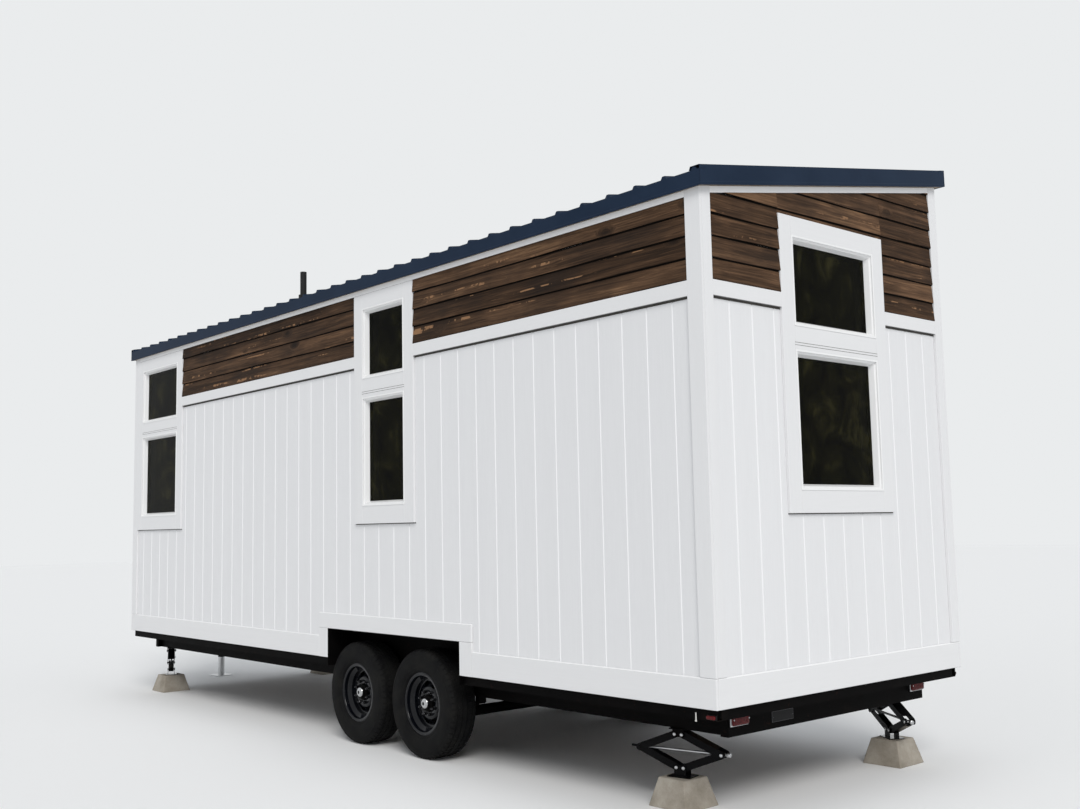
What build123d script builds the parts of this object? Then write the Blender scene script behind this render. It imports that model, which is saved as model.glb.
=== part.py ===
from build123d import *
from math import asin, atan, cos, degrees, radians, sin, tan
import os

# Tiny house on a tandem-axle trailer, parked on scissor jacks and concrete piers.
# X runs along the house towards its rear end, Y across it towards its high side,
# and Z is up from the ground. The origin lies on the ground under the middle of
# the whole outline. Lengths are millimetres.

# House body, measured over the faces of the white panel siding
house_length = 7976
house_width = 2484
skirt_bottom = 631
siding_thickness = 12
wall_thickness = 100
trim_thickness = 19
seam = 0.3

# Bands of trim, as heights above the ground or board widths
skirt_height = 167
belt_height = 90
corner_board_width = 114
end_board_width = 92
frieze_height = 40
casing_width = 117
sill_board_height = 135

# Single-pitch roof, rising towards +Y
eave_height = 3508
roof_slope = 0.1776
deck_thickness = 88
pan_thickness = 3
rib_height = 19
rib_base = 44
rib_crown = 18
rib_pitch = 228.6
low_eave_reach = 55
high_eave_reach = 95
rake_reach = 60
trim_sheet = 4
trim_drip = 3
rake_cap_width = 70

# Windows: one wide pair in each end wall and at the front of each side wall,
# one narrow pair over the wheels; each pair is a tall window under a low one,
# stacked down from the eave
wide_window = 864
narrow_window = 572
window_headroom = 155
upper_window_height = 557
window_row_gap = 143
lower_window_height = 842
window_member = 38
window_depth = 75
glass_setback = 49
glass_thickness = 18
window_proud = 3
front_window_setback = 194
narrow_window_from_rear = 2900

# Entry door in the high side wall
door_from_rear = 4690
door_width = 910
door_height = 2030
door_leaf_thickness = 45
door_frame_width = 36
door_setback = 30
door_gap = 0.5
door_head_space = 68

# Lapped boards above the belt
lap_exposure = 128
lap_butt = 19
lap_top = 8

# Trailer frame
frame_bottom = 441
rail_height = 203
rail_flange = 57
rail_web = 8
rail_centre = 935
cross_height = 76
cross_flange = 38
cross_web = 5
cross_count = 13
rear_rail_setback = 130
side_rail_gap = 2
end_rail_half = 1000
floor_top = 798

# Wheel arches, as distances from the rear siding face
arch_rear = 2257
arch_front = 3990
arch_top = 854
arch_trim_width = 135
arch_trim_top = 981
well_plate = 4
well_inner = 966

# Wheels and axles
axle_spacing = 860
axle_lead = 78
tyre_radius = 385
tyre_width = 235
tyre_outer_face = 1232
bead_radius = 203
rim_flange_radius = 220
rim_plate = 7
hub_radius = 60
drum_radius = 152
drum_width = 78
spindle_radius = 28
running_clearance = 0.05
hub_cap_radius = 41
rim_half = 89
bead_seat = 30
well_slope = 20
well_radius = 180
disc_offset = 5
disc_crown = 30
hub_nose = 88
hub_back = 95
spoke_count = 8
spoke_inner = 112
spoke_outer = 160
spoke_window = 62
window_cut = 60
lug_count = 8
lug_circle = 82.5
lug_radius = 10
lug_length = 30
tread_half = 98
shoulder_drop = 12
tread_grooves = (-63, -21, 21, 63)
groove_width = 9
groove_depth = 8
tyre_seat_gap = 0.3
axle_tube_radius = 38
axle_tube_height = 285
knuckle_width = 20
knuckle_gap = 6
spindle_end = 40

# Leaf springs
spring_length = 660
spring_width = 60
leaf_thickness = 8
leaf_count = 5
leaf_shortening = 0.17
spring_arch = 40
eye_radius = 14
hanger_width = 44

# Tongue and coupler
tongue_reach = 1370
tongue_height = 127
tongue_flange = 55
tongue_root = 800
coupler_width = 90
coupler_length = 260
coupler_height = 80
ball_radius = 30
jack_post_from_front = 520
jack_post_radius = 38
jack_post_top = 1010
jack_leg_radius = 34.7
jack_leg_gap = 0.3
jack_leg_top = 700
jack_tube_bottom = 210
jack_mount_length = 120
jack_mount_thickness = 12
jack_foot_size = 200
jack_foot_corner = 15
jack_foot_thickness = 8

# Scissor jacks and the piers under them
pier_height = 165
pier_base = 290
pier_crown = 200
rear_left_setback = 540
rear_right_setback = 334
front_setback = 254
rear_left_turn = 13
rear_right_turn = 33
front_turn = 24
arm_length = 265
folded_angle = 8
pin_spacing = 47
pin_drop = 32
foot_pin_drop = 52
pin_radius = 6
arm_radius = 21
arm_plate = 4
web_stop = 40
side_gap = 5
lower_arm_half = 25
screw_radius = 8
crank_stub = 46
crank_eye_radius = 13
crank_eye_length = 24
nut_stub = 70
stub_inner = 12
yoke_ear = 14
bracket_plate = 5
bracket_length = 120
foot_length = 150
foot_width = 110
foot_seat_gap = 0.3

# Vent pipe through the roof
vent_from_rear = 5080
vent_from_low_side = 400
vent_radius = 29
vent_height = 335
coupling_radius = 43.5
coupling_height = 120
boot_radius = 82
boot_height = 24

# Lights on the rear rail
tail_light_side = 915
tail_light_length = 160
tail_light_height = 85
tail_light_depth = 32
tail_light_level = 536
tail_light_corner = 14
marker_side = 1150
marker_length = 66
marker_height = 24
marker_level = 588
marker_depth = 22
marker_corner = 8

# Places worked out from the sizes above
whole_length = tongue_reach + house_length + rake_reach
x_rear = whole_length / 2 - rake_reach
x_front = x_rear - house_length
whole_width = low_eave_reach + house_width + high_eave_reach
y_low = low_eave_reach - whole_width / 2
y_high = y_low + house_width
y_middle = (y_low + y_high) / 2
skirt_top = skirt_bottom + skirt_height
door_top = floor_top + door_height
belt_bottom = door_top + door_head_space
belt_top = belt_bottom + belt_height
upper_head = eave_height - window_headroom
upper_sill = upper_head - upper_window_height
lower_head = upper_sill - window_row_gap
lower_sill = lower_head - lower_window_height
casing_top = upper_head + casing_width
casing_bottom = lower_sill - sill_board_height
frame_top = frame_bottom + rail_height
wall_inset = siding_thickness + wall_thickness
roof_angle = degrees(atan(roof_slope))
pan_rise = deck_thickness + pan_thickness / cos(radians(roof_angle))
sheet_rise = deck_thickness + (pan_thickness + rib_height) / cos(radians(roof_angle))
top_reach = eave_height + whole_width

os.makedirs("parts", exist_ok=True)


def finish(part, name):
    """Labels a finished piece and writes it as one file."""
    part.label = name
    export_step(part, f"parts/{name}.step")


def from_rear(distance):
    """X of a place that is measured forward from the rear siding face."""
    return x_rear - distance


def slab(x, y, z, mode=Mode.ADD):
    """A straight board, plate or cut between pairs of x, y and z values."""
    with Locations(((x[0] + x[1]) / 2, (y[0] + y[1]) / 2, (z[0] + z[1]) / 2)):
        Box(abs(x[1] - x[0]), abs(y[1] - y[0]), abs(z[1] - z[0]), mode=mode)


def roof_plane(rise=0):
    """The sloping plane that lies a vertical rise above the roof's underside."""
    return Plane(origin=(0, y_low, eave_height + rise), x_dir=(1, 0, 0), z_dir=(0, -roof_slope, 1))


def roof_height(y, rise=0):
    """Height of the roof's underside, plus a rise, at a place across the house."""
    return eave_height + rise + (y - y_low) * roof_slope


def side_plane(y, outward):
    """Elevation plane of a side wall at y; its normal points the given way along Y."""
    return Plane(origin=(0, y, 0), x_dir=(1, 0, 0) if outward < 0 else (-1, 0, 0), z_dir=(0, outward, 0))


# Window pairs as (centre, frame width), along X for the side walls
front_pair = (x_front + front_window_setback + wide_window / 2, wide_window)
narrow_pair = (from_rear(narrow_window_from_rear + narrow_window / 2), narrow_window)
end_pair = (y_middle, wide_window)
window_rows = ((lower_sill, lower_head), (upper_sill, upper_head))
door_centre = from_rear(door_from_rear + door_width / 2)
door_span = (door_centre - door_width / 2, door_centre + door_width / 2)
arch_span = (from_rear(arch_front), from_rear(arch_rear))
arch_centre = sum(arch_span) / 2


def window_holes(pairs):
    """Cuts the openings of each pair from the elevation being drawn."""
    for centre, width in pairs:
        for sill, head in window_rows:
            with Locations((centre, (sill + head) / 2)):
                Rectangle(width, head - sill, mode=Mode.SUBTRACT)


def elevation(low, high, bottom, top):
    """A plain upright rectangle in the elevation being drawn."""
    with Locations(((low + high) / 2, (bottom + top) / 2)):
        Rectangle(high - low, top - bottom)


def opening(low, high, bottom, top):
    """An upright rectangle taken out of the elevation being drawn."""
    with Locations(((low + high) / 2, (bottom + top) / 2)):
        Rectangle(high - low, top - bottom, mode=Mode.SUBTRACT)


# Walls: framing and sheathing, standing on the floor
def side_wall(name, y_face, inward, has_door):
    """One long wall; its outer face lies a siding's thickness inside y_face."""
    outer = y_face + inward * siding_thickness
    with BuildPart() as wall:
        with BuildSketch(Plane.XZ.offset(-outer)):
            elevation(x_front + siding_thickness, x_rear - siding_thickness, floor_top, top_reach)
            window_holes((front_pair, narrow_pair))
            opening(*arch_span, floor_top, arch_top + well_plate)
            if has_door:
                opening(*door_span, floor_top, door_top)
        extrude(amount=-inward * wall_thickness)
        split(bisect_by=roof_plane(), keep=Keep.BOTTOM)
    finish(wall.part, name)


def end_wall(name, x_face, inward):
    """One end wall, fitted between the side walls."""
    outer = x_face + inward * siding_thickness
    with BuildPart() as wall:
        with BuildSketch(Plane.YZ.offset(outer)):
            elevation(y_low + wall_inset, y_high - wall_inset, floor_top, top_reach)
            window_holes((end_pair,))
        extrude(amount=inward * wall_thickness)
        split(bisect_by=roof_plane(), keep=Keep.BOTTOM)
    finish(wall.part, name)


side_wall("left_wall", y_low, 1, False)
side_wall("right_wall", y_high, -1, True)
end_wall("rear_wall", x_rear, -1)
end_wall("front_wall", x_front, 1)

# White panel siding down to the skirt's foot; on the sides it is seamed over the arches
arch_head = arch_top + well_plate
siding_sheets = (
    (x_front, arch_span[0] - seam, skirt_bottom),
    (arch_span[0], arch_span[1], arch_head),
    (arch_span[1] + seam, x_rear, skirt_bottom),
)
with BuildPart() as siding:
    for y_face, inward in ((y_low, 1), (y_high, -1)):
        with BuildSketch(Plane.XZ.offset(-y_face)) as face:
            for low, high, foot in siding_sheets:
                elevation(low, high, foot, top_reach)
            window_holes((front_pair, narrow_pair))
            if inward < 0:
                opening(*door_span, floor_top, door_top)
        extrude(face.sketch, amount=-inward * siding_thickness)
    for x_face, inward in ((x_front, 1), (x_rear, -1)):
        with BuildSketch(Plane.YZ.offset(x_face)) as face:
            sheet_edge = siding_thickness + seam
            elevation(y_low + sheet_edge, y_high - sheet_edge, skirt_bottom, top_reach)
            window_holes((end_pair,))
        extrude(face.sketch, amount=inward * siding_thickness)
    split(bisect_by=roof_plane(), keep=Keep.BOTTOM)
finish(siding.part, "siding")

# Corner boards, each two boards meeting at the corner
with BuildPart() as corner_boards:
    for x_face, x_out in ((x_front, -1), (x_rear, 1)):
        for y_face, y_out in ((y_low, -1), (y_high, 1)):
            x_tip = x_face + x_out * trim_thickness
            y_tip = y_face + y_out * trim_thickness
            with BuildSketch(Plane.XY.offset(skirt_top)) as angle:
                with BuildLine():
                    Polyline(
                        (x_face, y_face),
                        (x_face, y_tip - y_out * end_board_width),
                        (x_tip, y_tip - y_out * end_board_width),
                        (x_tip, y_tip),
                        (x_tip - x_out * corner_board_width, y_tip),
                        (x_tip - x_out * corner_board_width, y_face),
                        close=True,
                    )
                make_face()
            extrude(angle.sketch, amount=top_reach - skirt_top)
    split(bisect_by=roof_plane(), keep=Keep.BOTTOM)
finish(corner_boards.part, "corner_boards")

# Flat trim: the skirt round the foot with its wheel arches, the belt and the frieze
front_casing_edge = front_pair[0] + wide_window / 2 + casing_width
narrow_casing = (
    narrow_pair[0] - narrow_window / 2 - casing_width,
    narrow_pair[0] + narrow_window / 2 + casing_width,
)
end_casing = (y_middle - wide_window / 2 - casing_width, y_middle + wide_window / 2 + casing_width)
board_edge_front = x_front - trim_thickness + corner_board_width
board_edge_rear = x_rear + trim_thickness - corner_board_width
board_edge_low = y_low - trim_thickness + end_board_width
board_edge_high = y_high + trim_thickness - end_board_width
side_bays = ((front_casing_edge, narrow_casing[0]), (narrow_casing[1], board_edge_rear))
end_bays = ((board_edge_low, end_casing[0]), (end_casing[1], board_edge_high))

arch_outer = (arch_span[0] - arch_trim_width, arch_span[1] + arch_trim_width)
with BuildPart() as skirt_boards:
    for y_face, y_out in ((y_low, -1), (y_high, 1)):
        y_span = (y_face, y_face + y_out * trim_thickness)
        slab((x_front - trim_thickness, arch_outer[0] - seam), y_span, (skirt_bottom, skirt_top))
        slab((arch_outer[1] + seam, x_rear + trim_thickness), y_span, (skirt_bottom, skirt_top))
        slab((arch_outer[0], arch_span[0]), y_span, (skirt_bottom, arch_head - seam))
        slab((arch_span[1], arch_outer[1]), y_span, (skirt_bottom, arch_head - seam))
        slab(arch_outer, y_span, (arch_head, arch_trim_top))
    for x_face, x_out in ((x_front, -1), (x_rear, 1)):
        x_span = (x_face, x_face + x_out * trim_thickness)
        slab(x_span, (y_low + seam, y_high - seam), (skirt_bottom, skirt_top))
finish(skirt_boards.part, "skirt_boards")

with BuildPart() as belt_boards:
    for y_face, y_out in ((y_low, -1), (y_high, 1)):
        for bay in side_bays:
            slab(bay, (y_face, y_face + y_out * trim_thickness), (belt_bottom, belt_top))
    for x_face, x_out in ((x_front, -1), (x_rear, 1)):
        for bay in end_bays:
            slab((x_face, x_face + x_out * trim_thickness), bay, (belt_bottom, belt_top))

frieze_blank = (eave_height - 200, top_reach)
with BuildPart() as frieze:
    for y_face, y_out in ((y_low, -1), (y_high, 1)):
        slab((board_edge_front, board_edge_rear), (y_face, y_face + y_out * trim_thickness), frieze_blank)
    for x_face, x_out in ((x_front, -1), (x_rear, 1)):
        slab((x_face, x_face + x_out * trim_thickness), (board_edge_low, board_edge_high), frieze_blank)
    split(bisect_by=roof_plane(), keep=Keep.BOTTOM)
    split(bisect_by=roof_plane(-frieze_height), keep=Keep.TOP)
with BuildPart() as flat_boards:
    add(belt_boards.part)
    add(frieze.part)
finish(flat_boards.part, "belt_and_frieze_boards")

# Flat casings round each window pair
side_casing_top = roof_height(y_low - trim_thickness, -frieze_height)
with BuildPart() as casings:
    for y_face, y_out in ((y_low, -1), (y_high, 1)):
        with BuildSketch(Plane.XZ.offset(-y_face)) as face:
            elevation(board_edge_front, front_casing_edge, casing_bottom, side_casing_top)
            elevation(*narrow_casing, casing_bottom, side_casing_top)
            window_holes((front_pair, narrow_pair))
        extrude(face.sketch, amount=-y_out * trim_thickness)
    for x_face, x_out in ((x_front, -1), (x_rear, 1)):
        with BuildSketch(Plane.YZ.offset(x_face)) as face:
            elevation(*end_casing, casing_bottom, casing_top)
            window_holes((end_pair,))
        extrude(face.sketch, amount=x_out * trim_thickness)
finish(casings.part, "window_casings")


def window_sets():
    """Every window as (elevation plane, centre, width, sill, head); normals face out."""
    for y_face, outward in ((y_low, -1), (y_high, 1)):
        plane = side_plane(y_face + outward * (trim_thickness + window_proud), outward)
        for centre, width in (front_pair, narrow_pair):
            for sill, head in window_rows:
                yield plane, -outward * centre, width, sill, head
    for x_face, outward in ((x_front, -1), (x_rear, 1)):
        x_plane = x_face + outward * (trim_thickness + window_proud)
        plane = Plane(origin=(x_plane, 0, 0), x_dir=(0, outward, 0), z_dir=(outward, 0, 0))
        for sill, head in window_rows:
            yield plane, outward * y_middle, wide_window, sill, head


with BuildPart() as window_frames:
    for plane, centre, width, sill, head in window_sets():
        with BuildSketch(plane) as ring:
            with Locations((centre, (sill + head) / 2)):
                Rectangle(width, head - sill)
                Rectangle(width - 2 * window_member, head - sill - 2 * window_member, mode=Mode.SUBTRACT)
        extrude(ring.sketch, amount=-window_depth)
finish(window_frames.part, "window_frames")

with BuildPart() as window_glass:
    for plane, centre, width, sill, head in window_sets():
        with BuildSketch(plane.offset(-glass_setback)) as pane:
            with Locations((centre, (sill + head) / 2)):
                Rectangle(width - 2 * window_member, head - sill - 2 * window_member)
        extrude(pane.sketch, amount=-glass_thickness)
finish(window_glass.part, "window_glass")

# Entry door: a flat frame round a plain leaf, closed
door_face = y_high + trim_thickness
with BuildPart() as door:
    with BuildSketch(Plane.XZ.offset(-door_face)) as ring:
        elevation(*door_span, floor_top, door_top)
        opening(
            door_span[0] + door_frame_width,
            door_span[1] - door_frame_width,
            floor_top + door_frame_width,
            door_top - door_frame_width,
        )
    extrude(ring.sketch, amount=trim_thickness + siding_thickness + wall_thickness)
    with BuildSketch(Plane.XZ.offset(-door_face)) as casing:
        elevation(door_span[0] - casing_width, door_span[1] + casing_width, skirt_top, belt_bottom)
        opening(*door_span, skirt_top, door_top)
    extrude(casing.sketch, amount=trim_thickness)
    leaf_edge = door_frame_width + door_gap
    slab(
        (door_span[0] + leaf_edge, door_span[1] - leaf_edge),
        (door_face - door_setback - door_leaf_thickness, door_face - door_setback),
        (floor_top + leaf_edge, door_top - leaf_edge),
    )
finish(door.part, "door")


# Lapped boards: one toothed profile a bay, cut off along the frieze
def lap_profile(top):
    """Outline of the lapped boards as (distance from the wall, height) points."""
    points = [(0, belt_top)]
    height = belt_top
    while height < top:
        points += [(lap_butt, height), (lap_top, height + lap_exposure)]
        height += lap_exposure
    return points + [(0, height)]


def lapped_bay(plane, width, top):
    """Extrudes the toothed profile from a plane across the bay."""
    with BuildSketch(plane) as profile:
        with BuildLine():
            Polyline(*lap_profile(top), close=True)
        make_face()
    extrude(profile.sketch, amount=width)


with BuildPart() as cedar:
    for y_face, y_out in ((y_low, -1), (y_high, 1)):
        for low, high in side_bays:
            start = Plane(origin=(low, y_face, 0), x_dir=(0, y_out, 0), z_dir=(1, 0, 0))
            if y_out < 0:
                start = Plane(origin=(high, y_face, 0), x_dir=(0, y_out, 0), z_dir=(-1, 0, 0))
            lapped_bay(start, high - low, roof_height(y_face + y_out * trim_thickness))
    for x_face, x_out in ((x_front, -1), (x_rear, 1)):
        for low, high in end_bays:
            start = Plane(origin=(x_face, high, 0), x_dir=(x_out, 0, 0), z_dir=(0, -1, 0))
            if x_out < 0:
                start = Plane(origin=(x_face, low, 0), x_dir=(x_out, 0, 0), z_dir=(0, 1, 0))
            lapped_bay(start, high - low, roof_height(high))
        gap_top = roof_height(end_casing[1])
        slab((x_face, x_face + x_out * lap_top), end_casing, (casing_top, gap_top))
    split(bisect_by=roof_plane(-frieze_height), keep=Keep.BOTTOM)
finish(cedar.part, "cedar_boards")

# Roof: a solid deck, ribbed metal sheets on it and sheet-metal trim round it
roof_y = (y_low - low_eave_reach + trim_sheet, y_high + high_eave_reach - trim_sheet)
roof_x = (x_front - rake_reach + trim_sheet, x_rear + rake_reach - trim_sheet)


def roof_layer(low, high, x_span, y_span):
    """A slab that follows the roof between two rises over its underside."""
    with BuildSketch(Plane.YZ.offset(x_span[0])) as profile:
        with BuildLine():
            Polyline(
                (y_span[0], roof_height(y_span[0], low)),
                (y_span[1], roof_height(y_span[1], low)),
                (y_span[1], roof_height(y_span[1], high)),
                (y_span[0], roof_height(y_span[0], high)),
                close=True,
            )
        make_face()
    extrude(profile.sketch, amount=x_span[1] - x_span[0])


with BuildPart() as roof_deck:
    roof_layer(0, deck_thickness, roof_x, roof_y)
finish(roof_deck.part, "roof_deck")

rib_count = int((roof_x[1] - roof_x[0] - rib_base) / rib_pitch) + 1
rib_start = (roof_x[0] + roof_x[1] - (rib_count - 1) * rib_pitch) / 2
slope_plane = Plane(
    origin=(0, roof_y[0], roof_height(roof_y[0], deck_thickness)), x_dir=(1, 0, 0), z_dir=(0, -1, -roof_slope)
)
slope_run = (roof_y[1] - roof_y[0]) / cos(radians(roof_angle))
with BuildPart() as roof_panels:
    with BuildSketch(slope_plane) as section:
        with BuildLine():
            crest = [(roof_x[0], 0), (roof_x[0], pan_thickness)]
            for rib in range(rib_count):
                middle = rib_start + rib * rib_pitch
                crest += [
                    (middle - rib_base / 2, pan_thickness),
                    (middle - rib_crown / 2, pan_thickness + rib_height),
                    (middle + rib_crown / 2, pan_thickness + rib_height),
                    (middle + rib_base / 2, pan_thickness),
                ]
            crest += [(roof_x[1], pan_thickness), (roof_x[1], 0)]
            Polyline(*crest, close=True)
        make_face()
    extrude(section.sketch, amount=-slope_run)
    with BuildSketch(Plane.XY.offset(eave_height - top_reach / 2)) as keep_inside:
        with Locations(((roof_x[0] + roof_x[1]) / 2, (roof_y[0] + roof_y[1]) / 2)):
            Rectangle(roof_x[1] - roof_x[0], roof_y[1] - roof_y[0])
    extrude(keep_inside.sketch, amount=top_reach, mode=Mode.INTERSECT)
finish(roof_panels.part, "roof_panels")

with BuildPart() as roof_trim:
    with BuildSketch(Plane.XY.offset(eave_height - 200)) as ring:
        with Locations(((roof_x[0] + roof_x[1]) / 2, (roof_y[0] + roof_y[1]) / 2)):
            Rectangle(roof_x[1] - roof_x[0] + 2 * trim_sheet, roof_y[1] - roof_y[0] + 2 * trim_sheet)
            Rectangle(roof_x[1] - roof_x[0], roof_y[1] - roof_y[0], mode=Mode.SUBTRACT)
    extrude(ring.sketch, amount=top_reach)
    split(bisect_by=roof_plane(sheet_rise), keep=Keep.BOTTOM)
    split(bisect_by=roof_plane(-trim_drip), keep=Keep.TOP)
    full_y = (roof_y[0] - trim_sheet, roof_y[1] + trim_sheet)
    full_x = (roof_x[0] - trim_sheet, roof_x[1] + trim_sheet)
    for span in ((full_x[0], full_x[0] + rake_cap_width), (full_x[1] - rake_cap_width, full_x[1])):
        roof_layer(sheet_rise, sheet_rise + trim_sheet, span, full_y)
    roof_layer(sheet_rise, sheet_rise + trim_sheet, full_x, (full_y[1] - rake_cap_width, full_y[1]))
    low_span = (full_x[0] + rake_cap_width, full_x[1] - rake_cap_width)
    lip_top = roof_height(full_y[0], pan_rise)
    slab(low_span, (full_y[0] - 1, roof_y[0]), (lip_top, top_reach), mode=Mode.SUBTRACT)
    # Four lengths: a rake at each end with a short return, and one length along each eave
    for x in (low_span[0], low_span[1] - seam):
        slab((x, x + seam), (full_y[0] - 1, roof_y[0] + 1), (0, top_reach), mode=Mode.SUBTRACT)
    high_seam = full_y[1] - rake_cap_width
    slab((full_x[0] - 1, full_x[1] + 1), (high_seam - seam, high_seam), (0, top_reach), mode=Mode.SUBTRACT)
finish(roof_trim.part, "roof_trim")

# Vent pipe in its coupling and boot
vent_pan = round((from_rear(vent_from_rear) - rib_start) / rib_pitch - 0.5)
vent_x = rib_start + (vent_pan + 0.5) * rib_pitch
vent_y = y_low + vent_from_low_side
vent_foot = roof_height(vent_y, pan_rise)
with BuildPart() as vent_pipe:
    with BuildSketch(Plane.XZ.offset(-vent_y)) as half:
        with BuildLine():
            Polyline(
                (vent_x, vent_foot - 40),
                (vent_x + boot_radius, vent_foot - 40),
                (vent_x + boot_radius, vent_foot + boot_height),
                (vent_x + coupling_radius, vent_foot + boot_height + 8),
                (vent_x + coupling_radius, vent_foot + coupling_height),
                (vent_x + vent_radius, vent_foot + coupling_height + 2),
                (vent_x + vent_radius, vent_foot + vent_height),
                (vent_x, vent_foot + vent_height),
                close=True,
            )
        make_face()
    revolve(half.sketch, axis=Axis((vent_x, vent_y, 0), (0, 0, 1)))
    split(bisect_by=roof_plane(pan_rise), keep=Keep.TOP)
finish(vent_pipe.part, "vent_pipe")

# Floor deck, notched round the wheel wells
floor_y = (y_low + siding_thickness, y_high - siding_thickness)
with BuildPart() as floor:
    slab((x_front + siding_thickness, x_rear - siding_thickness), floor_y, (frame_top, floor_top))
    for y_face, y_out in ((y_low, -1), (y_high, 1)):
        slab(arch_span, (y_middle + y_out * well_inner, y_face), (frame_top, floor_top), mode=Mode.SUBTRACT)
finish(floor.part, "floor")

# Folded steel wheel wells, open at the foot and to the outside
well_foot = frame_top - cross_height
with BuildPart() as wheel_wells:
    for y_face, y_out in ((y_low, -1), (y_high, 1)):
        inner = y_middle + y_out * well_inner
        outer = y_face + y_out * trim_thickness
        slab(arch_span, (inner, outer), (well_foot, arch_head))
        slab(
            (arch_span[0] + well_plate, arch_span[1] - well_plate),
            (inner + y_out * well_plate, outer),
            (well_foot, arch_top),
            mode=Mode.SUBTRACT,
        )
        slab(arch_span, (inner, inner + y_out * well_plate), (well_foot, frame_top), mode=Mode.SUBTRACT)
finish(wheel_wells.part, "wheel_wells")


# Trailer frame of rolled channel
def channel(plane, height, flange, web, length):
    """A channel along the plane's normal: web at local x = 0, flanges towards +x."""
    with BuildSketch(plane) as section:
        with BuildLine():
            Polyline(
                (0, 0), (flange, 0), (flange, web), (web, web),
                (web, height - web), (flange, height - web), (flange, height), (0, height),
                close=True,
            )
        make_face()
    extrude(section.sketch, amount=length)


rear_rail_x = x_rear - rear_rail_setback
front_rail_x = x_front + siding_thickness
rail_outer = rail_centre + rail_flange / 2
rail_inner = rail_centre - rail_flange / 2
frame_length = rear_rail_x - front_rail_x
# Crossmembers and end rails between the main rails; outriggers and side rails outside
cross_foot = frame_top - cross_height
cross_step = (frame_length - 2 * rail_flange) / (cross_count + 1)
cross_places = [front_rail_x + rail_flange + cross_step * n for n in range(1, cross_count + 1)]
side_rail_outer = house_width / 2 - siding_thickness
side_spans = (
    (x_front + siding_thickness, arch_span[0] - side_rail_gap),
    (arch_span[1] + side_rail_gap, x_rear - siding_thickness),
)
with BuildPart() as crossmembers:
    for x in cross_places:
        start = Plane(origin=(x, y_middle - rail_inner, cross_foot), x_dir=(-1, 0, 0), z_dir=(0, 1, 0))
        channel(start, cross_height, cross_flange, cross_web, 2 * rail_inner)
    rear_corner = (rear_rail_x, y_middle - end_rail_half, frame_bottom)
    rear_end = Plane(origin=rear_corner, x_dir=(-1, 0, 0), z_dir=(0, 1, 0))
    channel(rear_end, rail_height, rail_flange, rail_web, 2 * end_rail_half)
    front_corner = (front_rail_x, y_middle + end_rail_half, frame_bottom)
    front_end = Plane(origin=front_corner, x_dir=(1, 0, 0), z_dir=(0, -1, 0))
    channel(front_end, rail_height, rail_flange, rail_web, 2 * end_rail_half)
    apron_half = side_rail_outer - cross_flange - side_rail_gap
    apron_corner = (x_rear - siding_thickness, y_middle - apron_half, cross_foot)
    apron = Plane(origin=apron_corner, x_dir=(-1, 0, 0), z_dir=(0, 1, 0))
    channel(apron, cross_height, cross_flange, cross_web, 2 * apron_half)

with BuildPart() as outriggers:
    for side in (-1, 1):
        for low, high in side_spans:
            corner = (low if side < 0 else high, y_middle + side * side_rail_outer, cross_foot)
            start = Plane(origin=corner, x_dir=(0, -side, 0), z_dir=(-side, 0, 0))
            channel(start, cross_height, cross_flange, cross_web, high - low)
            reach = side_rail_outer - rail_outer - cross_web
            for x in cross_places:
                if low < x - cross_flange and x + cross_flange < high:
                    corner = (x, y_middle + side * rail_outer, cross_foot)
                    root = Plane(origin=corner, x_dir=(-side, 0, 0), z_dir=(0, side, 0))
                    channel(root, cross_height, cross_flange, cross_web, reach)
with BuildPart() as cross_frame:
    add(crossmembers.part)
    add(outriggers.part)
finish(cross_frame.part, "crossmembers")

# Tongue: two converging members under the front rail, and the ball coupler
tongue_tip = x_front - tongue_reach
coupler_back = tongue_tip + coupler_length
with BuildPart() as tongue_rails:
    for side in (-1, 1):
        with BuildSketch(Plane.XY.offset(frame_bottom)) as member:
            with BuildLine():
                Polyline(
                    (front_rail_x, y_middle + side * tongue_root),
                    (front_rail_x, y_middle + side * (tongue_root - tongue_flange)),
                    (coupler_back, y_middle + side * coupler_width / 2),
                    (coupler_back, y_middle + side * (coupler_width / 2 + tongue_flange)),
                    close=True,
                )
            make_face()
        extrude(member.sketch, amount=tongue_height)
finish(tongue_rails.part, "tongue_rails")

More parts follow.
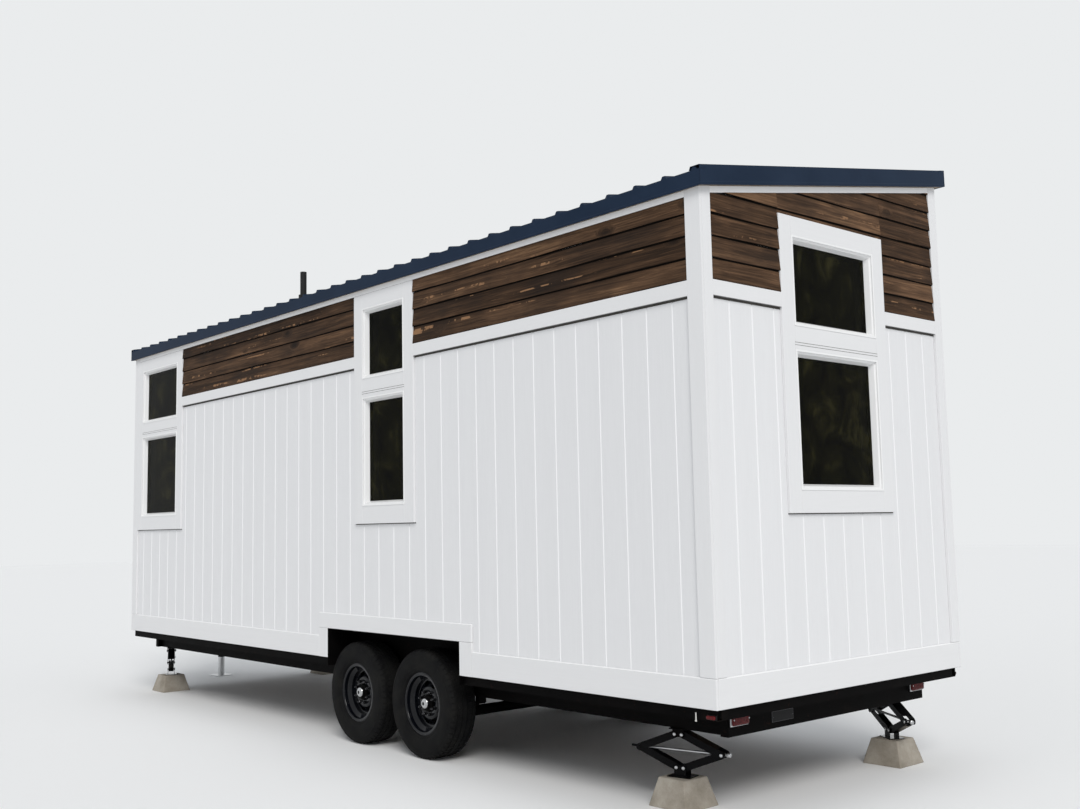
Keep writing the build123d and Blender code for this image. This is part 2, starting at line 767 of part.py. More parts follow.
socket_x = tongue_tip + coupler_width / 2
jack_post_x = x_front - jack_post_from_front
jack_share = (front_rail_x - jack_post_x) / (front_rail_x - coupler_back)
mount_half = tongue_root - tongue_flange - jack_share * (tongue_root - tongue_flange - coupler_width / 2)
with BuildPart() as coupler:
    with BuildSketch(Plane.XY.offset(frame_bottom)) as outline:
        with Locations((socket_x, y_middle)):
            Circle(coupler_width / 2)
        with Locations(((socket_x + coupler_back) / 2, y_middle)):
            Rectangle(coupler_back - socket_x, coupler_width)
    extrude(outline.sketch, amount=coupler_height)
    with BuildSketch(Plane.XY.offset(frame_bottom)) as heel:
        with Locations(((socket_x + coupler_width + coupler_back) / 2, y_middle)):
            Rectangle(coupler_back - socket_x - coupler_width, coupler_width)
    extrude(heel.sketch, amount=tongue_height)
    with Locations((socket_x, y_middle, frame_bottom)):
        Sphere(ball_radius, mode=Mode.SUBTRACT)
    with BuildSketch(Plane.XY.offset(frame_bottom + tongue_height)) as collar:
        with Locations((jack_post_x, y_middle)):
            Rectangle(jack_mount_length, 2 * mount_half + tongue_flange)
            Circle(jack_leg_radius + jack_leg_gap, mode=Mode.SUBTRACT)
    extrude(collar.sketch, amount=jack_mount_thickness)
    with BuildSketch(Plane.XY.offset(jack_tube_bottom)) as tube:
        with Locations((jack_post_x, y_middle)):
            Circle(jack_post_radius)
            Circle(jack_leg_radius + jack_leg_gap, mode=Mode.SUBTRACT)
    extrude(tube.sketch, amount=jack_post_top - jack_tube_bottom)
    with BuildSketch(Plane.XY.offset(jack_post_top)) as cap:
        with Locations((jack_post_x, y_middle)):
            Circle(jack_post_radius)
    extrude(cap.sketch, amount=jack_mount_thickness)
finish(coupler.part, "coupler")

leg_travel = jack_tube_bottom - jack_foot_thickness - side_gap
with BuildPart() as tongue_jack_leg:
    with BuildSketch() as plate:
        with Locations((jack_post_x, y_middle)):
            RectangleRounded(jack_foot_size, jack_foot_size, jack_foot_corner)
    extrude(plate.sketch, amount=jack_foot_thickness)
    with BuildSketch(Plane.XY.offset(jack_foot_thickness)) as leg:
        with Locations((jack_post_x, y_middle)):
            Circle(jack_leg_radius)
    extrude(leg.sketch, amount=jack_leg_top - jack_foot_thickness)
finish(tongue_jack_leg.part, "tongue_jack_leg")

# Drop axles with a spindle at each end
axle_centre = arch_centre - axle_lead
axle_places = (axle_centre - axle_spacing / 2, axle_centre + axle_spacing / 2)
wheel_centre_side = tyre_outer_face - tyre_width / 2
knuckle_outer = wheel_centre_side - hub_back - knuckle_gap
spindle_reach = wheel_centre_side + spindle_end
with BuildPart() as axles:
    for x in axle_places:
        with BuildSketch(Plane.XZ.offset(-(y_middle - knuckle_outer))) as tube:
            with Locations((x, axle_tube_height)):
                Circle(axle_tube_radius)
        extrude(tube.sketch, amount=-2 * knuckle_outer)
        for side in (-1, 1):
            inner_end = (x, y_middle + side * knuckle_outer, 0)
            face = Plane(origin=inner_end, x_dir=(-side, 0, 0), z_dir=(0, side, 0))
            with BuildSketch(face) as knuckle:
                with Locations((0, (axle_tube_height + tyre_radius) / 2)):
                    SlotCenterToCenter(tyre_radius - axle_tube_height, 2 * axle_tube_radius, rotation=90)
            extrude(knuckle.sketch, amount=-knuckle_width)
            with BuildSketch(face) as spindle:
                with Locations((0, tyre_radius)):
                    Circle(spindle_radius)
            extrude(spindle.sketch, amount=spindle_reach - knuckle_outer)
finish(axles.part, "axles")

# Leaf springs hung in a chain along each main rail
spring_seat = axle_tube_height + axle_tube_radius
eye_height = spring_seat + leaf_count * leaf_thickness + spring_arch
with BuildPart() as leaf_springs:
    for side in (-1, 1):
        face = Plane.XZ.offset(-(y_middle + side * rail_centre - spring_width / 2))
        with BuildSketch(face) as chain:
            for x in axle_places:
                for leaf in range(leaf_count):
                    half = spring_length / 2 * (1 - leaf * leaf_shortening)
                    rise = spring_arch * (half / (spring_length / 2)) ** 2
                    seat = spring_seat + (leaf_count - 1 - leaf) * leaf_thickness
                    with BuildLine() as outline:
                        ThreePointArc((x - half, seat + rise), (x, seat), (x + half, seat + rise))
                        Line((x + half, seat + rise), (x + half, seat + rise + leaf_thickness))
                        ThreePointArc(
                            (x + half, seat + rise + leaf_thickness),
                            (x, seat + leaf_thickness),
                            (x - half, seat + rise + leaf_thickness),
                        )
                        Line((x - half, seat + rise + leaf_thickness), (x - half, seat + rise))
                    make_face()
                with Locations((x - spring_length / 2, eye_height), (x + spring_length / 2, eye_height)):
                    Circle(eye_radius)
            with Locations((axle_centre, eye_height)):
                Rectangle(axle_spacing - spring_length, 2 * eye_radius)
            hanger_x = (
                axle_places[0] - spring_length / 2,
                axle_centre,
                axle_places[1] + spring_length / 2,
            )
            with Locations([(x, (eye_height + frame_bottom) / 2) for x in hanger_x]):
                Rectangle(hanger_width, frame_bottom - eye_height)
        extrude(chain.sketch, amount=-spring_width)
finish(leaf_springs.part, "leaf_springs")


# Wheels: each in a plane through the tyre's middle, its normal pointing outward
def tyre(plane):
    """A closed tyre with a rounded shoulder and grooves round the tread."""
    half = tyre_width / 2
    with BuildPart() as ring:
        with BuildSketch(Plane(origin=plane.origin, x_dir=plane.x_dir, z_dir=-plane.y_dir)) as section:
            with BuildLine():
                Polyline(
                    (bead_radius + tyre_seat_gap, rim_half - tyre_seat_gap),
                    (rim_flange_radius + 2, rim_half - tyre_seat_gap),
                    (rim_flange_radius + 6, rim_half + rim_plate + 5),
                )
                ThreePointArc(
                    (rim_flange_radius + 6, rim_half + rim_plate + 5),
                    ((rim_flange_radius + tyre_radius) / 2, half),
                    (tyre_radius - shoulder_drop, tread_half),
                )
                Polyline(
                    (tyre_radius - shoulder_drop, tread_half),
                    (tyre_radius, tread_half - shoulder_drop),
                    (tyre_radius, 0),
                    (bead_radius + tyre_seat_gap, 0),
                    (bead_radius + tyre_seat_gap, rim_half - tyre_seat_gap),
                )
            make_face()
            mirror(about=Plane.XZ)
            with Locations([(tyre_radius, groove) for groove in tread_grooves]):
                Rectangle(2 * groove_depth, groove_width, mode=Mode.SUBTRACT)
        revolve(section.sketch, axis=Axis(plane.origin, plane.z_dir))
    return ring.part


def wheel(plane):
    """A steel wheel with its hub, brake drum, lug nuts and hub cap."""
    with BuildPart() as disc:
        with BuildSketch(Plane(origin=plane.origin, x_dir=plane.x_dir, z_dir=-plane.y_dir)) as section:
            with BuildLine():
                Polyline(
                    (rim_flange_radius, rim_half + rim_plate),
                    (rim_flange_radius, rim_half),
                    (bead_radius, rim_half),
                    (bead_radius, rim_half - bead_seat),
                    (well_radius, rim_half - bead_seat - well_slope),
                    (well_radius, bead_seat + well_slope - rim_half),
                    (bead_radius, bead_seat - rim_half),
                    (bead_radius, -rim_half),
                    (rim_flange_radius, -rim_half),
                    (rim_flange_radius, -rim_half - rim_plate),
                    (bead_radius - rim_plate, -rim_half - rim_plate),
                    (bead_radius - rim_plate, bead_seat - rim_half),
                    (well_radius - rim_plate, bead_seat + well_slope - rim_half),
                    (well_radius - rim_plate, disc_offset),
                    (spoke_outer + 6, disc_offset),
                    (spoke_inner, disc_crown),
                    (hub_radius, disc_crown - 6),
                    (hub_radius, -hub_back),
                    (0, -hub_back),
                    (0, hub_nose),
                    (hub_cap_radius, hub_nose),
                    (hub_cap_radius, disc_crown + rim_plate),
                    (spoke_inner, disc_crown + rim_plate + 4),
                    (spoke_outer + 6, disc_offset + rim_plate),
                    (well_radius - rim_plate, disc_offset + rim_plate),
                    (well_radius - rim_plate, rim_half - bead_seat - well_slope),
                    (bead_radius - rim_plate, rim_half - bead_seat),
                    (bead_radius - rim_plate, rim_half + rim_plate),
                    close=True,
                )
            make_face()
            with Locations(((hub_radius + drum_radius) / 2, (drum_width - 2 * hub_back) / 2)):
                Rectangle(drum_radius - hub_radius + 2, drum_width)
        revolve(section.sketch, axis=Axis(plane.origin, plane.z_dir))
        with BuildSketch(plane.offset(disc_offset - 2)) as windows:
            with PolarLocations((spoke_inner + spoke_outer) / 2, spoke_count):
                SlotOverall(spoke_window, spoke_outer - spoke_inner - 8, rotation=90)
        extrude(windows.sketch, amount=window_cut, mode=Mode.SUBTRACT)
        with BuildSketch(plane.offset(disc_crown)) as lugs:
            with PolarLocations(lug_circle, lug_count):
                RegularPolygon(lug_radius, 6)
        extrude(lugs.sketch, amount=lug_length)
        with BuildSketch(plane.offset(-hub_back)) as bore:
            Circle(spindle_radius + running_clearance)
        extrude(bore.sketch, amount=hub_back + spindle_end + 5, mode=Mode.SUBTRACT)
    return disc.part


wheel_names = {
    (-1, 0): "left_front",
    (-1, 1): "left_rear",
    (1, 0): "right_front",
    (1, 1): "right_rear",
}
for (side, place), name in wheel_names.items():
    hub_plane = Plane(
        origin=(axle_places[place], y_middle + side * wheel_centre_side, tyre_radius),
        x_dir=(-side, 0, 0),
        z_dir=(0, side, 0),
    )
    finish(tyre(hub_plane), f"{name}_tyre")
    finish(wheel(hub_plane), f"{name}_wheel")

# Concrete piers: one under each jack, at (x, side, end, turn)
jack_places = {
    "rear_left": (x_rear - rear_left_setback, -1, 1, rear_left_turn),
    "rear_right": (x_rear - rear_right_setback, 1, 1, rear_right_turn),
    "front_left": (x_front + front_setback, -1, -1, front_turn),
    "front_right": (x_front + front_setback, 1, -1, front_turn),
}
with BuildPart() as piers:
    for x, side, end, turn in jack_places.values():
        with BuildSketch() as base:
            with Locations((x, y_middle + side * rail_centre)):
                Rectangle(pier_base, pier_base)
        with BuildSketch(Plane.XY.offset(pier_height)) as crown:
            with Locations((x, y_middle + side * rail_centre)):
                Rectangle(pier_crown, pier_crown)
        loft([base.sketch, crown.sketch])
finish(piers.part, "pier_blocks")

# Scissor jacks. Each stands in its own plane: x along the screw towards the
# crank, y across, z up, with the origin on the frame's underside.
upper_pin_z = -pin_drop
lower_pin_z = pier_height + foot_seat_gap + foot_pin_drop - frame_bottom
arm_angle = degrees(asin((upper_pin_z - lower_pin_z) / 2 / arm_length))
jack_fold = arm_angle - folded_angle
elbow_x = pin_spacing / 2 + arm_length * cos(radians(arm_angle))
elbow_z = (upper_pin_z + lower_pin_z) / 2
upper_inner = lower_arm_half + side_gap
upper_outer = upper_inner + arm_plate
bracket_inner = upper_outer + side_gap
bracket_outer = bracket_inner + arm_plate
lower_inner = lower_arm_half - arm_plate
foot_inner = lower_arm_half + side_gap
foot_outer = foot_inner + arm_plate


def arm(plane, inner, outer, stubs):
    """A channel-section arm from the plane's origin along its x, back towards +z."""
    flank = Plane(origin=plane.origin - plane.y_dir * outer, x_dir=plane.x_dir, z_dir=plane.y_dir * -1)
    with BuildPart() as link:
        with BuildSketch(flank) as outline:
            with Locations((arm_length / 2, 0)):
                SlotCenterToCenter(arm_length, 2 * arm_radius)
        extrude(outline.sketch, amount=-2 * outer)
        with BuildSketch(flank.offset(-(outer - inner))) as hollow:
            with Locations((arm_length / 2, -arm_plate)):
                Rectangle(arm_length + 2 * arm_radius, 2 * arm_radius)
            with Locations((arm_length, 0)):
                Rectangle(2 * web_stop, 4 * arm_radius)
        extrude(hollow.sketch, amount=-2 * inner, mode=Mode.SUBTRACT)
        with BuildSketch(flank) as bores:
            with Locations([(0, 0)] if stubs else [(0, 0), (arm_length, 0)]):
                Circle(pin_radius + running_clearance)
        extrude(bores.sketch, amount=-2 * outer, mode=Mode.SUBTRACT)
        if stubs:
            for way in (-1, 1):
                start = Plane(
                    origin=plane.origin + plane.x_dir * arm_length + plane.y_dir * (way * stub_inner),
                    x_dir=plane.x_dir,
                    z_dir=plane.y_dir * way,
                )
                with BuildSketch(start) as stub:
                    Circle(pin_radius)
                extrude(stub.sketch, amount=outer - stub_inner)
    return link.part


def yoke(plane, size, inner, outer, drop):
    """A bracket or foot: a plate with two ears that carry a pair of pins."""
    length, width, plate = size
    depth = drop + yoke_ear
    with BuildPart(plane) as body:
        with Locations((0, 0, plate / 2)):
            Box(length, width, plate)
        for way in (-1, 1):
            with Locations((0, way * (inner + outer) / 2, depth / 2)):
                Box(pin_spacing + 2 * yoke_ear, outer - inner, depth)
        flank = Plane(origin=plane.origin - plane.y_dir * outer, x_dir=plane.x_dir, z_dir=plane.y_dir * -1)
        with BuildSketch(flank) as pins:
            with Locations((-pin_spacing / 2, drop), (pin_spacing / 2, drop)):
                Circle(pin_radius)
        extrude(pins.sketch, amount=-2 * outer)
    return body.part


def jack_frame(name):
    """The plane that a jack stands in, from its place under the frame."""
    x, side, end, turn = jack_places[name]
    return Plane(
        origin=(x, y_middle + side * rail_centre, frame_bottom),
        x_dir=(end * cos(radians(turn)), -side * sin(radians(turn)), 0),
        z_dir=(0, 0, 1),
    )


def jack_point(frame, x, z):
    """A point on a jack's middle plane, in the model's own axes."""
    return frame.origin + frame.x_dir * x + frame.z_dir * z


brackets = []
for name in jack_places:
    frame = jack_frame(name)
    slope = radians(arm_angle)
    for way, label in ((1, "crank"), (-1, "nut")):
        out = frame.x_dir * way
        down_out = (out * cos(slope) - frame.z_dir * sin(slope)).normalized()
        up_back = (out * sin(slope) + frame.z_dir * cos(slope)).normalized()
        top_pin = jack_point(frame, way * pin_spacing / 2, upper_pin_z)
        upper = Plane(origin=top_pin, x_dir=down_out, z_dir=up_back)
        finish(arm(upper, upper_inner, upper_outer, way < 0), f"{name}_jack_{label}_upper_arm")
        low_pin = jack_point(frame, way * pin_spacing / 2, lower_pin_z)
        up_out = (out * cos(slope) + frame.z_dir * sin(slope)).normalized()
        down_back = (out * sin(slope) - frame.z_dir * cos(slope)).normalized()
        lower = Plane(origin=low_pin, x_dir=up_out, z_dir=down_back)
        finish(arm(lower, lower_inner, lower_arm_half, False), f"{name}_jack_{label}_lower_arm")
    foot_origin = jack_point(frame, 0, lower_pin_z - foot_pin_drop)
    foot_plane = Plane(origin=foot_origin, x_dir=frame.x_dir, z_dir=frame.z_dir)
    foot_size = (foot_length, foot_width, bracket_plate)
    foot = yoke(foot_plane, foot_size, foot_inner, foot_outer, foot_pin_drop)
    finish(foot, f"{name}_jack_foot")
    crank_end = jack_point(frame, elbow_x + crank_stub, elbow_z)
    crank = Plane(origin=crank_end, x_dir=frame.y_dir, z_dir=frame.x_dir * -1)
    trunnion = jack_point(frame, elbow_x, elbow_z) - frame.y_dir * upper_outer
    cross = Plane(origin=trunnion, x_dir=frame.x_dir, z_dir=frame.y_dir)
    with BuildPart() as screw:
        with BuildSketch(crank) as rod:
            Circle(screw_radius)
        extrude(rod.sketch, amount=crank_stub + 2 * elbow_x + nut_stub)
        with BuildSketch(cross) as pin:
            Circle(pin_radius)
        extrude(pin.sketch, amount=2 * upper_outer)
        with BuildSketch(crank) as eye:
            Circle(crank_eye_radius)
        extrude(eye.sketch, amount=crank_eye_length)
    finish(screw.part, f"{name}_jack_screw")
    hanging = Plane(origin=frame.origin, x_dir=frame.x_dir, z_dir=frame.z_dir * -1)
    bracket_size = (bracket_length, 2 * bracket_outer, bracket_plate)
    brackets.append(yoke(hanging, bracket_size, bracket_inner, bracket_outer, pin_drop))

# Main rails, with a bracket welded under each for every jack
with BuildPart() as main_rails:
    for side in (-1, 1):
        web_start = front_rail_x + rail_flange if side < 0 else rear_rail_x - rail_flange
        web_line = Plane(
            origin=(web_start, y_middle + side * rail_outer, frame_bottom),
            x_dir=(0, -side, 0),
            z_dir=(-side, 0, 0),
        )
        channel(web_line, rail_height, rail_flange, rail_web, frame_length - 2 * rail_flange)
    add(brackets)
finish(main_rails.part, "main_rails")

# Lights on the rear rail, and a marker at each rear corner
with BuildPart() as tail_lights:
    for side in (-1, 1):
        with BuildSketch(Plane.YZ.offset(rear_rail_x)) as lamp:
            with Locations((y_middle + side * tail_light_side, tail_light_level)):
                RectangleRounded(tail_light_length, tail_light_height, tail_light_corner)
        extrude(lamp.sketch, amount=tail_light_depth)
        with BuildSketch(Plane.YZ.offset(x_rear - siding_thickness)) as marker:
            with Locations((y_middle + side * marker_side, marker_level)):
                RectangleRounded(marker_length, marker_height, marker_corner)
        extrude(marker.sketch, amount=marker_depth)
finish(tail_lights.part, "tail_lights")
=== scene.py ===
# Tiny house on a tandem-axle trailer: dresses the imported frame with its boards, sheets and running gear.
# X runs along the house to its rear end, Y across it to its high side, Z up. Everything is in metres.
import math
import random

import bmesh
import bpy
from mathutils import Matrix, Vector


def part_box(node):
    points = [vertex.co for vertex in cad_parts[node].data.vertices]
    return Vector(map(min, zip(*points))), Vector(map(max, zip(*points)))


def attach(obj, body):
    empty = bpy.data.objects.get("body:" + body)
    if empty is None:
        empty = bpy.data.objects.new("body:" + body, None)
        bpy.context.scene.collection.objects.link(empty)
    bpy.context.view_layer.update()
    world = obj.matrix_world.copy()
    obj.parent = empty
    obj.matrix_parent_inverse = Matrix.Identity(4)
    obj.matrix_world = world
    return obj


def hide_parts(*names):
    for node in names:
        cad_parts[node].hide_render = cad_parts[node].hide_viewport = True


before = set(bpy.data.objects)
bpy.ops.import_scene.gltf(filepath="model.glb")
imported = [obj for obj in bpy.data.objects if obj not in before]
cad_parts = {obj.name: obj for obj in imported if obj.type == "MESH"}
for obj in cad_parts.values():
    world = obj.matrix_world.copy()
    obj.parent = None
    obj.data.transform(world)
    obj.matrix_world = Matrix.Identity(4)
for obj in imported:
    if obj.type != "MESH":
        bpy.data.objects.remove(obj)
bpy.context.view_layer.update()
scene = bpy.context.scene
print("frame loaded:", len(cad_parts), "nodes")

# the body, as the frame has it
house = {
    "skirtBottom": 0.631, "skirtTop": 0.798, "beltBottom": 2.896, "beltTop": 2.986, "eave": 3.508, "slope": 0.1776,
    "siding": 0.012, "trim": 0.019, "cornerBoard": 0.114, "endBoard": 0.092, "frieze": 0.040,
}
(xFront, yLow, _), (xRear, yHigh, _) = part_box("siding")
yMiddle = (yLow + yHigh) / 2
along, across, upward = Vector((1, 0, 0)), Vector((0, 1, 0)), Vector((0, 0, 1))
roofUp = Vector((0, -house["slope"], 1)).normalized()


def roofHeight(y, rise=0.0):
    return house["eave"] + rise + (y - yLow) * house["slope"]


# shader maths: a node's output that can be added, scaled and compared in Python
class Link:
    def __init__(self, wires, socket):
        self.wires = wires
        self.socket = socket

    def maths(self, operation, other, swapped=False, clamp=False):
        pair = (other, self) if swapped else (self, other)
        return self.wires.node("ShaderNodeMath", {"operation": operation, "use_clamp": clamp}, dict(enumerate(pair)))

    def __add__(self, other):
        return self.maths("ADD", other)

    __radd__ = __add__

    def __mul__(self, other):
        return self.maths("MULTIPLY", other)

    __rmul__ = __mul__

    def __sub__(self, other):
        return self.maths("SUBTRACT", other)

    def __rsub__(self, other):
        return self.maths("SUBTRACT", other, swapped=True)

    def __truediv__(self, other):
        return self.maths("DIVIDE", other)

    def above(self, level, width):
        return ((self - level) / width).maths("ADD", 0.5, clamp=True)

    def wave(self):
        return self.maths("SINE", 0.0)

    def apart(self):
        return self.wires.node("ShaderNodeSeparateXYZ", {}, {0: self}, several=True)


# a tree of nodes: node() makes every node, and feed() sets or links a socket
class Wires:
    def __init__(self, tree):
        self.tree = tree

    def node(self, kind, settings, sockets, output=0, several=False):
        made = self.tree.nodes.new(kind)
        for key, value in settings.items():
            if key == "stops":
                elements = made.color_ramp.elements
                while len(elements) < len(value):
                    elements.new(0.5)
                for element, (place, tone) in zip(elements, value):
                    element.position = place
                    element.color = (*tone, 1)
            else:
                setattr(made, key, value)
        for key, value in sockets.items():
            self.feed(made.inputs[key], value)
        if several:
            return [Link(self, socket) for socket in made.outputs]
        return Link(self, made.outputs[output])

    def feed(self, socket, value):
        if isinstance(value, Link):
            self.tree.links.new(value.socket, socket)
        elif socket.type == "RGBA" and len(value) == 3:
            socket.default_value = (*value, 1)
        else:
            socket.default_value = value


# one material: dress() sets or links the sockets of its shader
class Finish(Wires):
    def __init__(self, name, color, rough=0.5, metal=0.0, shine=0.5, **extras):
        self.material = bpy.data.materials.new(name)
        self.material.use_nodes = True
        self.material.diffuse_color = (*color, 1)
        super().__init__(self.material.node_tree)
        self.shader = next(n for n in self.tree.nodes if n.type == "BSDF_PRINCIPLED")
        self.dress({"Base Color": color, "Roughness": rough, "Metallic": metal, "Specular IOR Level": shine, **extras})

    def dress(self, sockets):
        for key, value in sockets.items():
            self.feed(self.shader.inputs[key], value)

    def place(self):
        return self.node("ShaderNodeTexCoord", {}, {}, output=3)

    def tone(self):
        return self.node("ShaderNodeAttribute", {"attribute_name": "tone"}, {}, output=2)

    def shifted(self, spot, x, y, z):
        offset = self.node("ShaderNodeCombineXYZ", {}, {0: x, 1: y, 2: z})
        return self.node("ShaderNodeVectorMath", {"operation": "ADD"}, {0: spot, 1: offset})

    # the place on the part, drawn out along one axis; a shift gives each board a grain of its own
    def stretched(self, scale, shift=None):
        spot = self.place()
        if shift is not None:
            spot = self.shifted(spot, shift * 7.3, shift * 11.9, shift * 5.1)
        return self.node("ShaderNodeVectorMath", {"operation": "MULTIPLY"}, {0: spot, 1: scale})

    def noise(self, spot, scale, detail=4.0, rough=0.55, twist=0.0):
        sockets = {"Vector": spot, "Scale": scale, "Detail": detail, "Roughness": rough, "Distortion": twist}
        return self.node("ShaderNodeTexNoise", {}, sockets)

    def cells(self, spot, scale):
        return self.node("ShaderNodeTexVoronoi", {"feature": "F1"}, {"Vector": spot, "Scale": scale})

    def ramp(self, level, stops):
        return self.node("ShaderNodeValToRGB", {"stops": stops}, {0: level})

    def blend(self, level, low, high):
        return self.node("ShaderNodeMix", {"data_type": "RGBA"}, {0: level, 6: low, 7: high}, output=2)

    def bump(self, height, strength, distance):
        sockets = {"Height": height, "Strength": strength, "Distance": distance}
        self.dress({"Normal": self.node("ShaderNodeBump", {}, sockets)})


# camera, solved from the wall grooves in the photograph
camera = {
    "place": (8.7837, -6.0833, 1.62525),
    "right": (0.65546973, 0.7549653, -0.019668),
    "down": (-0.09278291, 0.05465516, -0.99418517),
    "ahead": (-0.74950034, 0.65348314, 0.10587268),
    "lens": 38.346,
    "sensor": 36.0,
    "reach": 200,
}
lens = bpy.data.cameras.new("camera")
lens.lens = camera["lens"]
lens.sensor_width = camera["sensor"]
lens.sensor_fit = "HORIZONTAL"
lens.clip_end = camera["reach"]
viewer = bpy.data.objects.new("camera", lens)
turn = Matrix((camera["right"], -Vector(camera["down"]), -Vector(camera["ahead"]))).transposed()
viewer.matrix_world = Matrix.Translation(camera["place"]) @ turn.to_4x4()
scene.collection.objects.link(viewer)
scene.camera = viewer

# light: an even sky with one broad soft sun, and a pale backdrop that only the camera, gloss and glass see
light = {
    "sky": 0.60,
    "skyColor": (0.93, 0.965, 1.0),
    "backdrop": (0.822, 0.838, 0.847),
    "sun": 1.60,
    "sunColor": (1.0, 0.985, 0.96),
    "sunAngle": 26.0,
    "sunFrom": (0.69, -0.47, 0.71),
}
scene.world = bpy.data.worlds.new("studio")
scene.world.use_nodes = True
scene.world.node_tree.nodes.clear()
sky = Wires(scene.world.node_tree)
seen, gloss, through = (
    sky.node("ShaderNodeLightPath", {}, {}, f"Is {ray} Ray") for ray in ("Camera", "Glossy", "Transmission")
)
plain = sky.node("ShaderNodeBackground", {}, {"Color": light["skyColor"], "Strength": light["sky"]})
shown = sky.node("ShaderNodeBackground", {}, {"Color": light["backdrop"]})
chosen = seen.maths("MAXIMUM", gloss.maths("MAXIMUM", through))
mixed = sky.node("ShaderNodeMixShader", {}, {0: chosen, 1: plain, 2: shown})
sky.node("ShaderNodeOutputWorld", {}, {"Surface": mixed}, several=True)
sun = bpy.data.lights.new("sun", "SUN")
sun.energy = light["sun"]
sun.angle = math.radians(light["sunAngle"])
sun.color = light["sunColor"]
sunObject = bpy.data.objects.new("sun", sun)
sunObject.rotation_euler = Vector(light["sunFrom"]).to_track_quat("Z", "Y").to_euler()
scene.collection.objects.link(sunObject)
scene.view_settings.view_transform = "Standard"
print("camera and light set")

grainScale = {"X": (0.035, 1.0, 1.0), "Y": (1.0, 0.035, 1.0), "Z": (1.0, 1.0, 0.035)}
knotScale = {"X": (0.45, 1, 1), "Y": (1, 0.45, 1)}


# white paint over an embossed wood grain that runs along one axis
def paintedBoard(name, axis, color, streak, relief):
    finish = Finish(name, color, 0.5, shine=0.3)
    spot = finish.stretched(grainScale[axis], finish.tone())
    grain = finish.noise(spot, 95.0, 5.0, 0.6, 0.6)
    cloud = finish.noise(spot, 9.0, 3.0)
    shade = (grain * 0.6 + cloud * 0.4).above(0.5, 0.5)
    low = tuple(value * (1 - streak) for value in color)
    finish.dress({"Base Color": finish.blend(shade, low, color), "Roughness": 0.62 - 0.2 * shade})
    finish.bump(grain, 0.5, relief)
    return finish.material


def vinylFinish():
    finish = Finish("whiteVinyl", (0.86, 0.86, 0.86), 0.3, shine=0.4)
    finish.dress({"Roughness": 0.26 + 0.1 * finish.noise(finish.place(), 40.0)})
    return finish.material


def glassFinish():
    finish = Finish("darkGlass", (0.006, 0.006, 0.003), 0.015, 0.0, 0.03, Alpha=0.80)
    # a faint olive mottle in the dark glass: painted reflection
    reflectionMottle = finish.noise(finish.place(), 3.4, 6.0, 0.7, 1.2)
    stops = [(0.38, (0.0008, 0.0008, 0.0003)), (0.54, (0.0056, 0.0055, 0.0016)), (0.72, (0.034, 0.031, 0.011))]
    finish.dress({"Base Color": finish.ramp(reflectionMottle, stops)})
    return finish.material


# rough boards in a dark brown stain, with knots, darker patches and a few scuffs down to the pale wood
stainStops = [
    (0.33, (0.010, 0.0052, 0.0028)), (0.45, (0.043, 0.0232, 0.0125)),
    (0.55, (0.096, 0.053, 0.0295)), (0.68, (0.225, 0.128, 0.068)),
]


def stainFinish(axis, lift):
    finish = Finish("brownStain" + axis, (0.07, 0.04, 0.025), 0.7, shine=0.12)
    tone = finish.tone()
    spot = finish.stretched(grainScale[axis], tone)
    even = finish.stretched((1, 1, 1), tone)
    knot = (0.16 - finish.cells(finish.stretched(knotScale[axis], tone), 3.1)).above(0.06, 0.09)
    bent = knot * 0.09
    grainSpot = finish.shifted(spot, bent, bent, bent)
    grain = finish.noise(grainSpot, 62.0, 6.0, 0.68, 1.2)
    bands = finish.noise(grainSpot, 13.0, 3.0, 0.5, 0.7)
    level = grain * 0.5 + bands * 0.32 + finish.noise(even, 1.7, 2.0) * 0.18 + (tone - 0.5) * 0.14
    # a lift above 1 brightens the stain: painted light
    stops = [(place, tuple(value * lift for value in color)) for place, color in stainStops]
    stain = finish.blend(knot, finish.ramp(level, stops), (0.010, 0.006, 0.004))
    patch = finish.noise(finish.stretched((1, 1, 1), tone * 2.0), 1.3, 3.0, 0.6).above(0.57, 0.16)
    stain = finish.blend(patch * 0.55, stain, (0.016, 0.0105, 0.008))
    chip = finish.noise(finish.stretched(grainScale[axis], tone * 3.0), 23.0, 3.0, 0.6).above(0.625, 0.03)
    chip = chip * finish.noise(even, 9.0, 3.0, 0.7).above(0.56, 0.06)
    stain = finish.blend(chip * 0.9, stain, (0.30, 0.165, 0.085))
    finish.dress({"Base Color": stain, "Roughness": 0.58 + 0.3 * grain})
    finish.bump(grain * 0.7 + bands * 0.5 - knot * 0.5, 0.8, 0.004)
    return finish.material


def sheetFinish(name, color, rough, relief=0.0006, shine=0.3):
    finish = Finish(name, color, rough, 0.0, shine)
    spot = finish.place()
    cloud = finish.noise(spot, 3.0)
    pale = tuple(value * 1.5 + 0.01 for value in color)
    tone = finish.blend(cloud.above(0.6, 0.5) * 0.5, color, pale)
    finish.dress({"Base Color": tone, "Roughness": rough - 0.06 + 0.2 * cloud})
    finish.bump(cloud + finish.noise(spot, 55.0) * 0.3, 0.3, relief)
    return finish.material


def rubberFinish():
    finish = Finish("tyreRubber", (0.010, 0.010, 0.011), 0.7, shine=0.06)
    spot = finish.place()
    dust = finish.noise(spot, 7.0, 5.0, 0.65)
    stops = [(0.35, (0.0055, 0.0055, 0.0062)), (0.56, (0.010, 0.010, 0.0098)), (0.80, (0.017, 0.0160, 0.0150))]
    finish.dress({"Base Color": finish.ramp(dust, stops), "Roughness": 0.55 + 0.3 * dust})
    finish.bump(finish.noise(spot, 160.0, 3.0), 0.35, 0.0006)
    return finish.material


